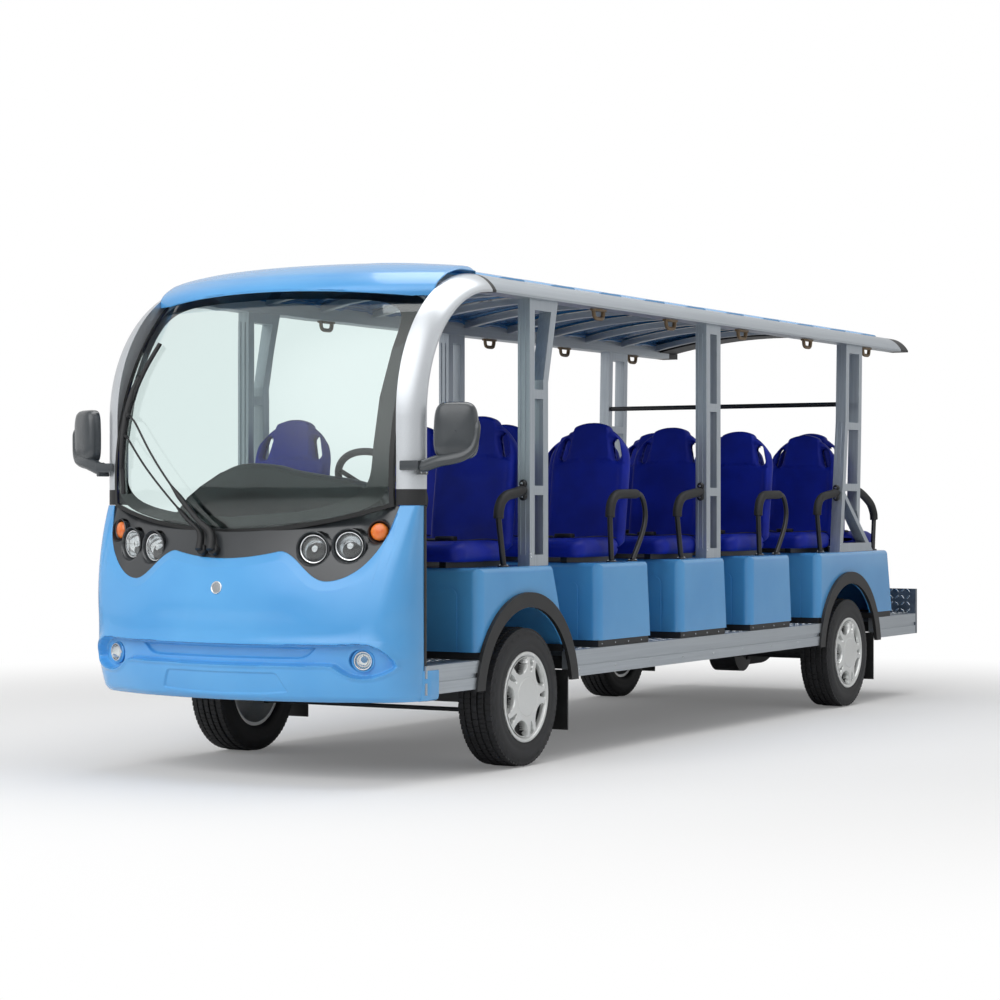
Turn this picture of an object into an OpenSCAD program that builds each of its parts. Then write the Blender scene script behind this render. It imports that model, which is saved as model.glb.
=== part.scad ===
// Electric sightseeing bus: open sides, front faces -Y, width along X, +Z up, millimetres.
// Ground at z = 0; lengths along the bus are written from the front axle.

/* [Overall] */
// front face to front axle
front_overhang = 1100; // [1080:5:1130]
// front axle to rear axle
wheelbase = 3440; // [3420:5:3460]
// rear axle to rear end
rear_overhang = 1000; // [980:5:1040]
// width over the seat bases
body_w = 1470; // [1460:2:1480]

/* [Wheels] */
// tyre diameter
tyre_d = 560; // [550:2:566]
// tyre width
tyre_w = 165; // [155:1:170]
// wheel cover diameter
cover_d = 364; // [350:2:370]
// steering arm length
steer_arm = 100; // [90:1:104]

/* [Floor] */
// floor level above the wheel centres
floor_up = 167; // [160:1:174]
// height of the side sills
sill_h = 109; // [100:1:116]
// seat base top above the floor
base_h = 357; // [345:1:370]
// black plinth under each base
plinth_h = 29; // [20:1:36]
// wall of moulded panels
wall = 5; // [4:0.5:7]
// wheel arch radius
arch_r = 360; // [356:1:366]

/* [Roof] */
// underside of the roof rails above the floor
rail_up = 1436; // [1424:1:1450]
// crown of the roof panels above the underside of the rails
crown_rise = 141; // [134:1:150]
// roof panel thickness
panel_t = 5; // [4:0.5:7]

/* [Seats] */
// gap between seats
seat_gap = 53; // [40:1:70]
// cushion thickness
cushion_t = 84; // [70:1:96]
// seat back length
back_h = 560; // [520:5:600]
// recline of the seat backs in degrees
recline = 9; // [6:0.5:12]

/* [Steering] */
// steering wheel diameter
wheel_d = 390; // [360:2:400]
// slope of the steering column in degrees
column_tilt = 48; // [46:0.5:50]

/* [Hidden] */
$fn = 64;
bus_l = front_overhang + wheelbase + rear_overhang;
axle_y = front_overhang - bus_l / 2;
rear_end = wheelbase + rear_overhang;
half_w = body_w / 2;
side_x = half_w + 7;
hub_z = tyre_d / 2;
// wheels stand flush with the sides
track = body_w - tyre_w - 1;
wheel_x = track / 2;
kingpin_x = wheel_x - 52;
floor_z = hub_z + floor_up;
sill_bottom = floor_z - sill_h;
base_top = floor_z + base_h;
base_bottom = floor_z + plinth_h;
rail_bottom = floor_z + rail_up;
crown_z = rail_bottom + crown_rise;
// three seats share the width
seat_pitch = (body_w - 99) / 3;
seat_w = seat_pitch - seat_gap;
// rows of seats behind the front one: front and rear edge of each base
row_place = [0.1829, 0.416, 0.6384];
row_front = [for (k = row_place) round(k * wheelbase)];
base_depth = round(0.132 * wheelbase);
rear_base_front = wheelbase - arch_r - 42;
rear_base_back = wheelbase + arch_r + 185;
front_base_front = -arch_r - 16;
front_base_back = 212;
// nose surface: turned about an upright axis behind the front axle
nose_y = -front_overhang;
nose_r = round(1.5 * front_overhang);
nose_axis = nose_r + nose_y;
nose_in = round(0.667 * nose_r);
cowl_bottom = sill_bottom - 27;
cowl_h = round(2.07 * base_h);
nose_up_z = cowl_bottom + round(0.391 * cowl_h);
nose_up_r = round(1.008 * cowl_h);
nose_low_z = cowl_bottom + round(0.283 * cowl_h);
nose_low_r = round(0.66 * cowl_h);
cowl_half = half_w + 15;
cowl_back = nose_y + 315;
corner_r = 110;
// glass surface: a large ring on the same axis
glass_low = cowl_bottom + round(0.877 * cowl_h);
glass_top = rail_bottom + 10;
glass_arc = round(1.0857 * (glass_top - glass_low));
glass_mid_z = glass_low + round(0.197 * (glass_top - glass_low));
glass_ring = nose_r - 84 - glass_arc;
// roof rail section and front pillar bend
rail_w = 90;
rail_h = 75;
rail_in = half_w + 10 - rail_w;
rail_top = rail_bottom + rail_h;
socket_bottom = cowl_bottom + cowl_h;
bend_r = round(0.592 * (rail_bottom - socket_bottom));
bend_y = nose_y + 317 + bend_r;
bend_z = rail_bottom - bend_r;
rail_end = wheelbase + 730;
// side posts
post_x = half_w - 70;
post_w = 55;
post_d = 42;

// shared shapes

module from_axle() {
  translate([0, axle_y, 0]) children();
}

module both_sides() {
  children();
  mirror([1, 0, 0]) children();
}

// outline drawn in Y and Z, thickness t from x
module side_cut(x, t) {
  translate([x, 0, 0]) rotate([90, 0, 90]) linear_extrude(t) children();
}

// outline drawn in X and Z, thickness t from y
module front_cut(y, t) {
  translate([0, y + t, 0]) rotate([90, 0, 0]) linear_extrude(t) children();
}

module block(x, y, z) {
  translate([x[0], y[0], z[0]]) cube([x[1] - x[0], y[1] - y[0], z[1] - z[0]]);
}

module round_rect(w, h, r) {
  translate([r, 0]) square([w - 2 * r, h]);
  translate([0, r]) square([w, h - 2 * r]);
  for (px = [r, w - r], py = [r, h - r]) {
    translate([px, py]) circle(r);
  }
}

module rod(p, q, d) {
  v = q - p;
  len_v = norm(v);
  translate(p) rotate([0, acos(v[2] / len_v), atan2(v[1], v[0])]) cylinder(h = len_v, d = d);
}

module rod_path(pts, d) {
  for (i = [0 : len(pts) - 2]) {
    rod(pts[i], pts[i + 1], d);
  }
  for (i = [1 : len(pts) - 2]) {
    translate(pts[i]) rotate([0, 25, 0]) sphere(d = d * 1.1);
  }
}

// turned nose surface, moved in by a
module nose_turn(a) {
  translate([0, nose_axis, 0]) rotate([0, 0, 230]) rotate_extrude(angle = 80, $fn = 96) {
    intersection() {
      translate([nose_r - nose_up_r, nose_up_z]) circle(nose_up_r - a);
      translate([nose_in, nose_up_z]) square([nose_r - nose_in + 50, 0.65 * cowl_h]);
    }
    translate([nose_in, nose_low_z]) square([nose_r - a - nose_in, nose_up_z - nose_low_z]);
    intersection() {
      translate([nose_r - nose_low_r, nose_low_z]) circle(nose_low_r - a);
      translate([nose_in, cowl_bottom]) square([nose_r - nose_in + 50, nose_low_z - cowl_bottom]);
    }
  }
}

// plan of the nose with rounded corners, moved in by a
module nose_plan(a, back) {
  cx = cowl_half - corner_r;
  big = nose_r + 3;
  cy = nose_axis - sqrt(pow(big - corner_r, 2) - cx * cx);
  ux = cx / (big - corner_r);
  uy = (cy - nose_axis) / (big - corner_r);
  difference() {
    intersection() {
      translate([0, nose_axis]) circle(big - a, $fn = 128);
      translate([-cowl_half + a, -front_overhang - 20])
        square([2 * (cowl_half - a), front_overhang + 20 + back]);
    }
    both_sides() {
      difference() {
        polygon([[cx, cy], [cx + 240 * ux, cy + 240 * uy], [cx + 300, cy - 200], [cx + 200, cy]]);
        translate([cx, cy]) circle(corner_r - a);
      }
    }
  }
}

module nose_solid(a, back) {
  intersection() {
    nose_turn(a);
    translate([0, 0, cowl_bottom - 5]) linear_extrude(900) nose_plan(a, back);
  }
}

// skin between two depths
module nose_skin(a, b, back) {
  difference() {
    nose_solid(a, back);
    nose_solid(b, back + 20);
  }
}

// lower edge of the dark lamp mask: dips under the lamps and rises to the sides
mask_half = cowl_half - 90;
mask_dip = mask_half - 214;
mask_inner = mask_half - 417;
mask_mid_z = cowl_bottom + 538;
mask_dip_z = cowl_bottom + 455;

function mask_low(x) =
  let (u = abs(x))
  u < mask_inner ? mask_mid_z + 28 * pow(u / mask_inner, 2)
  : u < mask_dip ? mask_mid_z + 28 - 111 * (1 - cos(180 * (u - mask_inner) / (mask_dip - mask_inner))) / 2
  : mask_dip_z + 244 * (1 - cos(90 * min(1, (u - mask_dip) / (mask_half - mask_dip))));

module mask_shape(grow) {
  edge = mask_half + grow;
  low = [for (i = [-15 : 15]) [i * edge / 15, mask_low(i * mask_half / 15) - grow]];
  polygon(concat(low, [[edge, socket_bottom + 35], [-edge, socket_bottom + 35]]));
}

// outline of the glass opening: arcs with this rise at foot and head
glass_low_rise = 97;
glass_top_rise = 31;
seal_w = 16;
glass_half = rail_in - seal_w - 1;

// radius of an arc over the glass width with this rise
function glass_edge_r(rise) = (glass_half * glass_half + rise * rise) / (2 * rise);

module glass_shape(grow) {
  low_r = glass_edge_r(glass_low_rise);
  top_r = glass_edge_r(glass_top_rise);
  intersection() {
    translate([-glass_half - grow, glass_low - 50])
      square([2 * (glass_half + grow), glass_top - glass_low + 100]);
    translate([0, glass_low - grow + low_r]) circle(low_r, $fn = 128);
    translate([0, glass_top + grow - top_r]) circle(top_r, $fn = 128);
  }
}

// curved glass skin between two depths
module glass_skin(a, b) {
  translate([0, nose_axis, 0]) rotate([0, 0, 230]) rotate_extrude(angle = 80, $fn = 200) {
    intersection() {
      difference() {
        translate([glass_ring, glass_mid_z]) circle(glass_arc - a, $fn = 128);
        translate([glass_ring, glass_mid_z]) circle(glass_arc - b, $fn = 128);
      }
      translate([nose_in, glass_low - 29]) square([nose_r - nose_in + 50, glass_top - glass_low + 56]);
    }
  }
}

// closed outline from its right half, bottom middle to top middle
function whole(half) =
  concat(half, [for (i = [len(half) - 1 : -1 : 0]) if (half[i][0] > 0) [-half[i][0], half[i][1]]]);

// outline moved out by g, square to its edges
function spread(pts, g) =
  let (n = len(pts))
  [for (i = [0 : n - 1])
    let (
      u = (pts[i] - pts[(i + n - 1) % n]) / norm(pts[i] - pts[(i + n - 1) % n]),
      v = (pts[(i + 1) % n] - pts[i]) / norm(pts[(i + 1) % n] - pts[i]),
      m = [u[1] + v[1], -u[0] - v[0]]
    )
    pts[i] + m * 2 * g / (m * m)];

// almond eye around each fog lamp: across and up from the lamp
fog_x = cowl_half - 174;
fog_z = cowl_bottom + 161;
fog_y = nose_y + 140;
fog_d = 64;
eye_line = [[-98, -22], [-74, -38], [-51, -53], [-24, -63], [8, -67], [44, -63], [80, -51], [110, -34],
  [120, -20], [114, 0], [96, 25], [70, 46], [34, 61], [-6, 64], [-80, 60]];
slot_low = -24;
slot_up = 57;
slot_depth = 22;
inner_depth = 34;

// recess from eye to eye
module slot_shape(grow) {
  half = concat([[0, fog_z + slot_low], [fog_x - 136, fog_z + slot_low + 5]],
    [for (e = eye_line) [fog_x + e[0], fog_z + e[1]]], [[0, fog_z + slot_up]]);
  polygon(spread(whole(half), grow));
}

// deeper slot in the middle of the recess
module inner_shape(grow) {
  half = [[0, fog_z], [fog_x - 246, fog_z + 1], [fog_x - 214, fog_z + 6], [fog_x - 192, fog_z + 18],
    [fog_x - 165, fog_z + slot_up - 14], [0, fog_z + slot_up - 15]];
  polygon(spread(whole(half), grow));
}

// number plate recess, wider at the bottom
plate_z = cowl_bottom + 25;
plate_h = 87;
plate_low_half = 292;
plate_top_half = 244;

module plate_shape(grow) {
  half = [[0, plate_z], [plate_low_half / 2, plate_z + 3], [plate_low_half - 14, plate_z + 10],
    [plate_low_half, plate_z + 16], [plate_top_half + 14, plate_z + plate_h - 6],
    [plate_top_half, plate_z + plate_h], [0, plate_z + plate_h]];
  polygon(spread(whole(half), grow));
}

// body pieces

// leaf springs: x, axle place, underside height and number of leaves
leaf_t = 8;
spring_half = 460;
springs = [[336, 0, hub_z + 30, 3], [440, wheelbase, hub_z + 38, 4]];

module chassis_frame() {
  color("#303236") from_axle() {
    both_sides() {
      block([300, 372], [nose_y + 100, rear_end - 70], [sill_bottom + 4, floor_z - 22]);
      member_y = [for (k = [0.163, 0.36, 0.576, 0.785]) k * wheelbase];
      for (y = concat([nose_y + 460, wheelbase + 680], member_y)) {
        block([360, half_w - 33], [y - 30, y + 30], [sill_bottom + 20, floor_z - 22]);
      }
      for (p = springs, k = [-1, 1]) {
        end = p[1] + k * (spring_half - 20);
        block([min(330, p[0] - 28), p[0] + 28], [end - 20, end + 20], [p[2] + leaf_t * p[3], floor_z - 40]);
      }
    }
    for (y = concat([nose_y + 140, nose_y + 540, wheelbase + 520, rear_end - 110],
        [for (k = [0.186, 0.39, 0.599, 0.808]) k * wheelbase])) {
      block([-310, 310], [y - 30, y + 30], [sill_bottom + 14, floor_z - 22]);
    }
  }
}

// room for the wheels in floor and plinths
module wheel_wells() {
  both_sides() {
    block([wheel_x - 232, half_w + 165], [-arch_r, arch_r], [100, floor_z + 113]);
    block([wheel_x - 132, half_w + 165], [wheelbase - arch_r, wheelbase + arch_r], [100, floor_z + 113]);
  }
}

module floor_deck() {
  color("#9a9ea3") from_axle() difference() {
    block([-half_w + 33, half_w - 33], [cowl_back - 60, rear_end - 40], [floor_z - 22, floor_z]);
    wheel_wells();
  }
}

module side_sills() {
  color("#a9adb2") from_axle() both_sides() {
    for (s = [[cowl_back, -arch_r], [arch_r, wheelbase - arch_r], [wheelbase + arch_r, rear_end - 40]]) {
      difference() {
        block([half_w - 33, side_x], s, [sill_bottom, floor_z]);
        block([side_x - 6, side_x + 10], [s[0] - 5, s[1] + 5], [sill_bottom + 44, sill_bottom + 62]);
        for (y = [0, wheelbase]) {
          side_cut(half_w, 20) translate([y, hub_z]) circle(arch_r + 60.3);
        }
      }
    }
  }
}

// moulded base: upright front with rounded corners, sloping back
base_edge = 20;

// points of a quarter turn, clockwise from this angle
function quarter(x, y, r, from) = [for (i = [0 : 10]) [x + r * cos(from - 9 * i), y + r * sin(from - 9 * i)]];

module base_solid(front, back_top, back_low, a) {
  r = base_edge - a;
  y = front + a;
  z = base_top - a;
  x = half_w - a;
  intersection() {
    side_cut(-x, 2 * x) polygon(concat([[y, base_bottom - a]], quarter(y + r, z - r, r, 180),
      [[back_top - a, z], [back_low - a, base_bottom - a]]));
    front_cut(front - 10, back_low - front + 20) polygon(concat([[-x, base_bottom - 20]],
      quarter(-x + r, z - r, r, 180), quarter(x - r, z - r, r, 90), [[x, base_bottom - 20]]));
    translate([-x, y, base_bottom - 20]) linear_extrude(base_h + 50)
      round_rect(2 * x, back_low - front + 200, 40 - a);
  }
}

// hollow base, with wheel arches at the places listed
module base_shell(front, back_top, back_low, arches) {
  difference() {
    base_solid(front, back_top, back_low, 0);
    base_solid(front, back_top, back_low, wall);
    for (y = arches) {
      both_sides() side_cut(half_w - 40, 60) translate([y, hub_z]) circle(arch_r);
    }
    for (sx = [-1, 0, 1]) {
      translate([sx * seat_pitch, 0, 0]) panel_groove(front);
    }
  }
}

// inverted U line pressed into the front face
module panel_groove(front) {
  front_cut(front - 5, 7) difference() {
    translate([-seat_w / 2 + 17, base_bottom - 40]) round_rect(seat_w - 34, base_top - base_bottom - 30, 40);
    translate([-seat_w / 2 + 27, base_bottom - 50]) round_rect(seat_w - 54, base_top - base_bottom - 30, 32);
  }
}

module front_seat_base() {
  color("#5fa8df") from_axle() base_shell(front_base_front, front_base_back, front_base_back + 118, [0]);
}

module middle_seat_bases() {
  color("#5fa8df") from_axle() {
    for (y = row_front) {
      base_shell(y, y + base_depth, y + base_depth + 32, []);
    }
  }
}

module rear_seat_base() {
  color("#5fa8df") from_axle() base_shell(rear_base_front, rear_base_back, rear_base_back + 70, [wheelbase]);
}

module base_plinths() {
  edge = 6;
  color("#1c1d1f") from_axle() difference() {
    for (b = concat([[front_base_front, front_base_back + 118]], [for (y = row_front) [y, y + base_depth + 32]],
        [[rear_base_front, rear_base_back + 70]])) {
      difference() {
        block([-half_w + edge, half_w - edge], [b[0] + edge, b[1] - edge], [floor_z, base_bottom]);
        block([-half_w + 60, half_w - 60], [b[0] + 60, b[1] - 60], [floor_z - 5, base_bottom + 5]);
      }
    }
    both_sides() {
      for (y = [0, wheelbase]) {
        side_cut(wheel_x - 252, 500) translate([y, hub_z]) circle(arch_r);
      }
    }
  }
}

module arch_flares() {
  color("#202124") from_axle() both_sides() {
    for (y = [0, wheelbase]) {
      side_cut(half_w + 0.3, 16) intersection() {
        difference() {
          translate([y, hub_z]) circle(arch_r + 60);
          translate([y, hub_z]) circle(arch_r);
        }
        translate([y - 500, sill_bottom - 10]) square([1000, 600]);
      }
    }
  }
}

// floor of a recess at a depth and the wall round it
module cowl_recess(top, depth) {
  intersection() {
    nose_skin(depth, depth + wall, cowl_back);
    front_cut(nose_y - 100, 380) children(0);
  }
  intersection() {
    nose_skin(top, depth + wall - 2, cowl_back);
    front_cut(nose_y - 100, 380) difference() {
      children(0);
      children(1);
    }
  }
}

module front_cowl() {
  color("#5fa8df") from_axle() difference() {
    union() {
      difference() {
        nose_skin(0, wall, cowl_back);
        front_cut(nose_y - 100, 560) slot_shape(0);
        front_cut(nose_y - 100, 560) plate_shape(0);
      }
      difference() {
        cowl_recess(1, slot_depth) {
          slot_shape(wall);
          slot_shape(0);
        }
        front_cut(nose_y - 100, 560) inner_shape(0);
      }
      cowl_recess(slot_depth + 1, inner_depth) {
        inner_shape(wall);
        inner_shape(0);
      }
      cowl_recess(1, 7) {
        plate_shape(wall);
        plate_shape(0);
      }
    }
    front_cut(nose_y - 100, 480) mask_shape(0);
    front_cut(nose_y - 100, 900) translate([-cowl_half + corner_r, socket_bottom - 50])
      square([2 * (cowl_half - corner_r), 200]);
    block([-half_w - 165, half_w + 165], [nose_y - 200, 0], [socket_bottom, socket_bottom + 300]);
    both_sides() {
      fog_bore(fog_d + 0.6);
      lamp_axis(signal) cylinder(h = 200, d = signal_d + 0.6, center = true);
    }
  }
}

module fog_place() {
  translate([fog_x, fog_y, fog_z]) rotate([90, 0, 18]) children();
}

module fog_bore(d) {
  fog_place() cylinder(h = 160, d = d, center = true);
}

// lamp places: x, y, z and turn about the upright
lamps = [[mask_half - 286, nose_y + 104, cowl_bottom + 575, 14],
  [mask_half - 150, nose_y + 142, cowl_bottom + 586, 19]];
signal = [mask_half - 54, nose_y + 208, cowl_bottom + 639, 26];
lamp_d = 106;
signal_d = 66;

module lamp_axis(p) {
  translate([p[0], p[1], p[2]]) rotate([90, 0, p[3]]) children();
}

module lamp_mask() {
  color("#3b3d40") from_axle() difference() {
    intersection() {
      nose_skin(wall + 0.3, wall + 6, cowl_back);
      front_cut(nose_y - 100, 480) mask_shape(14);
      front_cut(nose_y - 100, 700) translate([-cowl_half + 30, socket_bottom - 350])
        square([2 * cowl_half - 60, 345]);
    }
    front_cut(nose_y - 100, 900) glass_shape(seal_w + 0.5);
    both_sides() {
      for (p = lamps) {
        lamp_axis(p) cylinder(h = 200, d = lamp_d + 0.6, center = true);
      }
      lamp_axis(signal) cylinder(h = 200, d = signal_d + 0.6, center = true);
    }
  }
}

module windscreen() {
  color("#cfe4ea") from_axle() intersection() {
    glass_skin(2, 8);
    front_cut(nose_y - 100, 900) glass_shape(0);
  }
}

module windscreen_seal() {
  color("#151617") from_axle() intersection() {
    glass_skin(-3, 12);
    front_cut(nose_y - 100, 900) difference() {
      glass_shape(seal_w);
      glass_shape(0.3);
    }
  }
}

// rail section: outward along X, upward along Y, rounded outer top
module rail_section() {
  difference() {
    intersection() {
      square([rail_w, rail_h]);
      translate([-27, -56]) circle(134, $fn = 128);
    }
    translate([rail_w - 3, 16]) square([10, 5]);
  }
}

module front_pillars() {
  color("#c3c7cb") from_axle() both_sides() {
    translate([rail_in, bend_y, bend_z]) rotate([90, 180, 90]) mirror([0, 1, 0])
      rotate_extrude(angle = 90, $fn = 128) translate([bend_r, 0]) mirror([1, -1]) rail_section();
    translate([rail_in, bend_y, socket_bottom + 60]) pillar_leg(bend_z - socket_bottom - 60);
  }
}

// straight lower part of a front pillar
module pillar_leg(h) {
  linear_extrude(h) mirror([0, 1]) translate([0, bend_r]) rail_section();
}

module pillar_sockets() {
  color("#1c1d1f") from_axle() both_sides() {
    translate([rail_in, bend_y, socket_bottom]) pillar_leg(60);
    translate([rail_in, bend_y, rail_bottom]) rotate([-90, 0, 0]) mirror([0, 1, 0])
      linear_extrude(30) rail_section();
  }
}

module roof_side_rails() {
  color("#b4b8bc") from_axle() both_sides() {
    translate([rail_in, bend_y + 30, rail_bottom]) rotate([-90, 0, 0]) mirror([0, 1, 0])
      linear_extrude(rail_end - bend_y - 30) rail_section();
  }
}

// roof crown: arc across the bus
panel_half = rail_in - 2;
panel_side_z = rail_top - 6;
crown_s = crown_z - panel_side_z;
crown_r = (panel_half * panel_half + crown_s * crown_s) / (2 * crown_s);
crown_a = 2 * asin(panel_half / crown_r);
panel_from = bend_y + 10;
panel_to = rail_end - 120;
// raised ribs across the roof: start and length after each step
rib_pitch = (panel_to - panel_from) / 10;

module arch_turn(from_a, width_a) {
  translate([0, 0, crown_z - crown_r]) rotate([90, 0, 0]) mirror([0, 0, 1]) rotate([0, 0, 90 - width_a / 2])
    rotate_extrude(angle = width_a, $fn = 720) children();
}

module roof_panels() {
  n = 10;
  up = 13;
  top = concat([[crown_r, panel_from]], [for (i = [0 : n - 1]) each [
      [crown_r, panel_from + (i + 0.42) * rib_pitch], [crown_r + up, panel_from + (i + 0.5) * rib_pitch],
      [crown_r + up, panel_from + (i + 0.9) * rib_pitch], [crown_r, panel_from + (i + 0.94) * rib_pitch]]],
    [[crown_r, panel_to]]);
  low = [for (i = [len(top) - 1 : -1 : 0]) [top[i][0] - panel_t, top[i][1]]];
  color("#67b3e6") from_axle() arch_turn(0, crown_a) polygon(concat(top, low));
}

module roof_bows() {
  color("#a4a8ad") from_axle() {
    for (i = [0 : 10]) {
      translate([0, panel_from + 40 + i * (panel_to - panel_from - 80) / 10 - 18, 0]) rotate([-90, 0, 0])
        mirror([0, 1, 0]) linear_extrude(36) intersection() {
          difference() {
            translate([0, crown_z - crown_r]) circle(crown_r - panel_t - 0.3, $fn = 720);
            translate([0, crown_z - crown_r]) circle(crown_r - panel_t - 28, $fn = 720);
          }
          translate([-rail_in, rail_bottom]) square([2 * rail_in, 200]);
        }
    }
  }
}

// roof cap profile: distance behind its front edge, height above the rails, share of the wall taken each way
cap_low = rail_bottom - 43;
cap_front = glass_ring + sqrt(pow(glass_arc, 2) - pow(glass_top - glass_mid_z, 2)) + 66;
cap_line = [[0, -43, 1, 0], [0, -11, 1, 0.33], [32, 29, 1, 0.5], [100, 75, 1, 1], [210, 113, 0, 1],
  [340, 137, 0, 1], [470, 149, 0, 1], [600, 153, 0, 1]];

module cap_turn(a) {
  translate([0, nose_axis, 0]) rotate([0, 0, 230]) rotate_extrude(angle = 80, $fn = 96)
    polygon(concat([[cap_front - 600, cap_low]],
      [for (c = cap_line) [cap_front - c[0] - a * c[2], rail_bottom + c[1] - a * c[3]]]));
}

module front_roof_cap() {
  back = panel_from + 10;
  color("#5fa8df") from_axle() difference() {
    union() {
      intersection() {
        difference() {
          cap_turn(0);
          cap_turn(wall);
        }
        block([-rail_in, rail_in], [nose_y, back], [cap_low, crown_z + 76]);
      }
      intersection() {
        cap_turn(1);
        union() {
          both_sides() block([rail_in - wall, rail_in], [nose_y, back], [cap_low, crown_z + 76]);
          block([-rail_in, rail_in], [back - wall, back], [cap_low, crown_z + 76]);
        }
      }
    }
    glass_cut();
    both_sides() side_cut(rail_in - 20, 30) translate([bend_y, bend_z]) circle(bend_r + 40, $fn = 128);
    translate([0, panel_from - 0.3, crown_z - crown_r]) rotate([-90, 0, 0])
      cylinder(h = 200, r = crown_r + 0.3, $fn = 720);
  }
}

// space behind and under the glass skin
module glass_cut() {
  translate([0, nose_axis, 0]) rotate([0, 0, 230]) rotate_extrude(angle = 80, $fn = 96) intersection() {
    translate([glass_ring, glass_mid_z]) circle(glass_arc + 4, $fn = 128);
    translate([cap_front - 600, rail_bottom - 183]) square([700, 190]);
  }
}

module rear_roof_cap() {
  color("#43474c") from_axle() {
    translate([0, panel_to, 0]) rotate([-90, 0, 0]) mirror([0, 1, 0]) linear_extrude(rail_end - panel_to + 80)
      intersection() {
        difference() {
          translate([0, crown_z - crown_r]) circle(crown_r, $fn = 720);
          translate([0, crown_z - crown_r]) circle(crown_r - 40, $fn = 720);
        }
        translate([-rail_in, rail_bottom]) square([2 * rail_in, 200]);
      }
    both_sides() {
      translate([rail_in, rail_end, rail_bottom]) rotate([-90, 0, 0]) mirror([0, 1, 0])
        linear_extrude(110) rail_section();
      block([rail_in - 24, rail_in + 24], [rail_end + 12, rail_end + 68],
        [rail_bottom + 34, rail_bottom + 60]);
    }
  }
}

// lines drawn into the front face of a post between two heights
module post_lines(low, top, z) {
  for (x = [12, post_w - 20]) {
    side_cut(post_x + x, 8) polygon([[low - 2, z[0]], [low + 4, z[0]], [top + 4, z[1]], [top - 2, z[1]]]);
  }
}

// front faces of the side posts and heights of their ties
front_post_y = 53;
middle_post_y = row_front[1] + base_depth - 155;
rear_post_y = wheelbase - 90;
tie_low = base_top + 286;
tie_high = base_top + 676;
tie_h = 38;
foot_h = 44;
ladder_d = 155;

// two posts joined by ties, foot and head bars
module ladder(y) {
  back = y + ladder_d;
  side_cut(post_x, post_w) {
    translate([y, base_top]) square([post_d, rail_bottom - base_top]);
    translate([back - post_d, base_top]) square([post_d, rail_bottom - base_top]);
    for (z = [tie_low, tie_high]) {
      translate([y + 8, z]) square([ladder_d - 16, tie_h]);
    }
    for (z = [base_top, rail_bottom - foot_h]) {
      translate([y + 8, z]) square([ladder_d - 16, foot_h]);
    }
  }
}

module front_posts() {
  y = front_post_y;
  back = y + ladder_d;
  knee = tie_high + 70;
  spread = 84;
  color("#b4b8bc") from_axle() both_sides() difference() {
    side_cut(post_x, post_w) {
      translate([y, base_top]) square([post_d, rail_bottom - base_top]);
      translate([back - post_d, base_top]) square([post_d, knee + 10 - base_top]);
      polygon([[back - post_d, knee], [back, knee], [back + spread, rail_bottom],
        [back + spread - post_d - 6, rail_bottom]]);
      for (z = [tie_low, tie_high]) {
        translate([y + 8, z]) square([ladder_d - 16, tie_h]);
      }
      translate([y + 8, base_top]) square([ladder_d - 16, foot_h]);
      translate([y + 8, rail_bottom - foot_h]) square([ladder_d + spread - 20, foot_h]);
    }
    post_lines(y, y, [base_top + foot_h, rail_bottom - foot_h]);
  }
}

module middle_posts() {
  y = middle_post_y;
  color("#b4b8bc") from_axle() both_sides() difference() {
    ladder(y);
    post_lines(y, y, [base_top + foot_h, rail_bottom - foot_h]);
  }
}

module rear_posts() {
  y = rear_post_y;
  lean = 82;
  brace_z = tie_low + 30;
  color("#b4b8bc") from_axle() both_sides() difference() {
    side_cut(post_x, post_w) {
      polygon([[y, base_top], [y + post_d, base_top], [y + lean + post_d, tie_high],
        [y + lean + 14 + post_d, rail_bottom], [y + lean + 14, rail_bottom], [y + lean, tie_high]]);
      polygon([[y + 236, tie_low - 70], [y + 278, tie_low - 150], [y + 304, tie_high], [y + 316, rail_bottom],
        [y + 274, rail_bottom], [y + 262, tie_high]]);
      polygon([[y + 26, brace_z], [y + 66, brace_z], [y + 470, base_top], [y + 420, base_top]]);
      translate([y + 6, base_top]) square([440, foot_h]);
      translate([y + 60, brace_z]) square([210, tie_h]);
      translate([y + 90, tie_high - 40]) square([190, tie_h]);
      translate([y + 104, rail_bottom - foot_h]) square([206, foot_h]);
    }
    post_lines(y, y + lean, [base_top + foot_h, tie_high]);
  }
}

module rear_cross_bar() {
  y = rear_post_y + 110;
  z = rail_bottom - 311;
  color("#151617") from_axle() rod([-post_x, y, z], [post_x, y, z], 24);
}

// seats: x, front edge of the cushion, 1 faces forward, -1 faces rearward
cushion_d = 398;
cushion_out = 28;
seat_z = base_top + 22;
rows = concat(row_front, [rear_base_front]);
seats = concat([for (sx = [-1, 1]) [sx * seat_pitch, front_base_front - 24, 1]],
  [for (y = rows, sx = [-1, 0, 1]) [sx * seat_pitch, y - cushion_out, 1]],
  [for (sx = [-1, 0, 1]) [sx * seat_pitch, rear_base_back + 40, -1]]);

module each_seat() {
  for (s = seats) {
    $lean = s[2] > 0 ? recline : 0;
    translate([s[0], s[1], 0]) scale_y(s[2]) children();
  }
}

module scale_y(k) {
  if (k > 0) {
    children();
  } else {
    mirror([0, 1, 0]) children();
  }
}

module seat_cushions() {
  color("#2b3fb0") from_axle() each_seat() {
    intersection() {
      translate([-seat_w / 2, 0, seat_z]) linear_extrude(cushion_t) round_rect(seat_w, cushion_d, 60);
      side_cut(-seat_w / 2, seat_w) translate([0, seat_z]) round_rect(cushion_d, cushion_t, 30);
    }
  }
}

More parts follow.
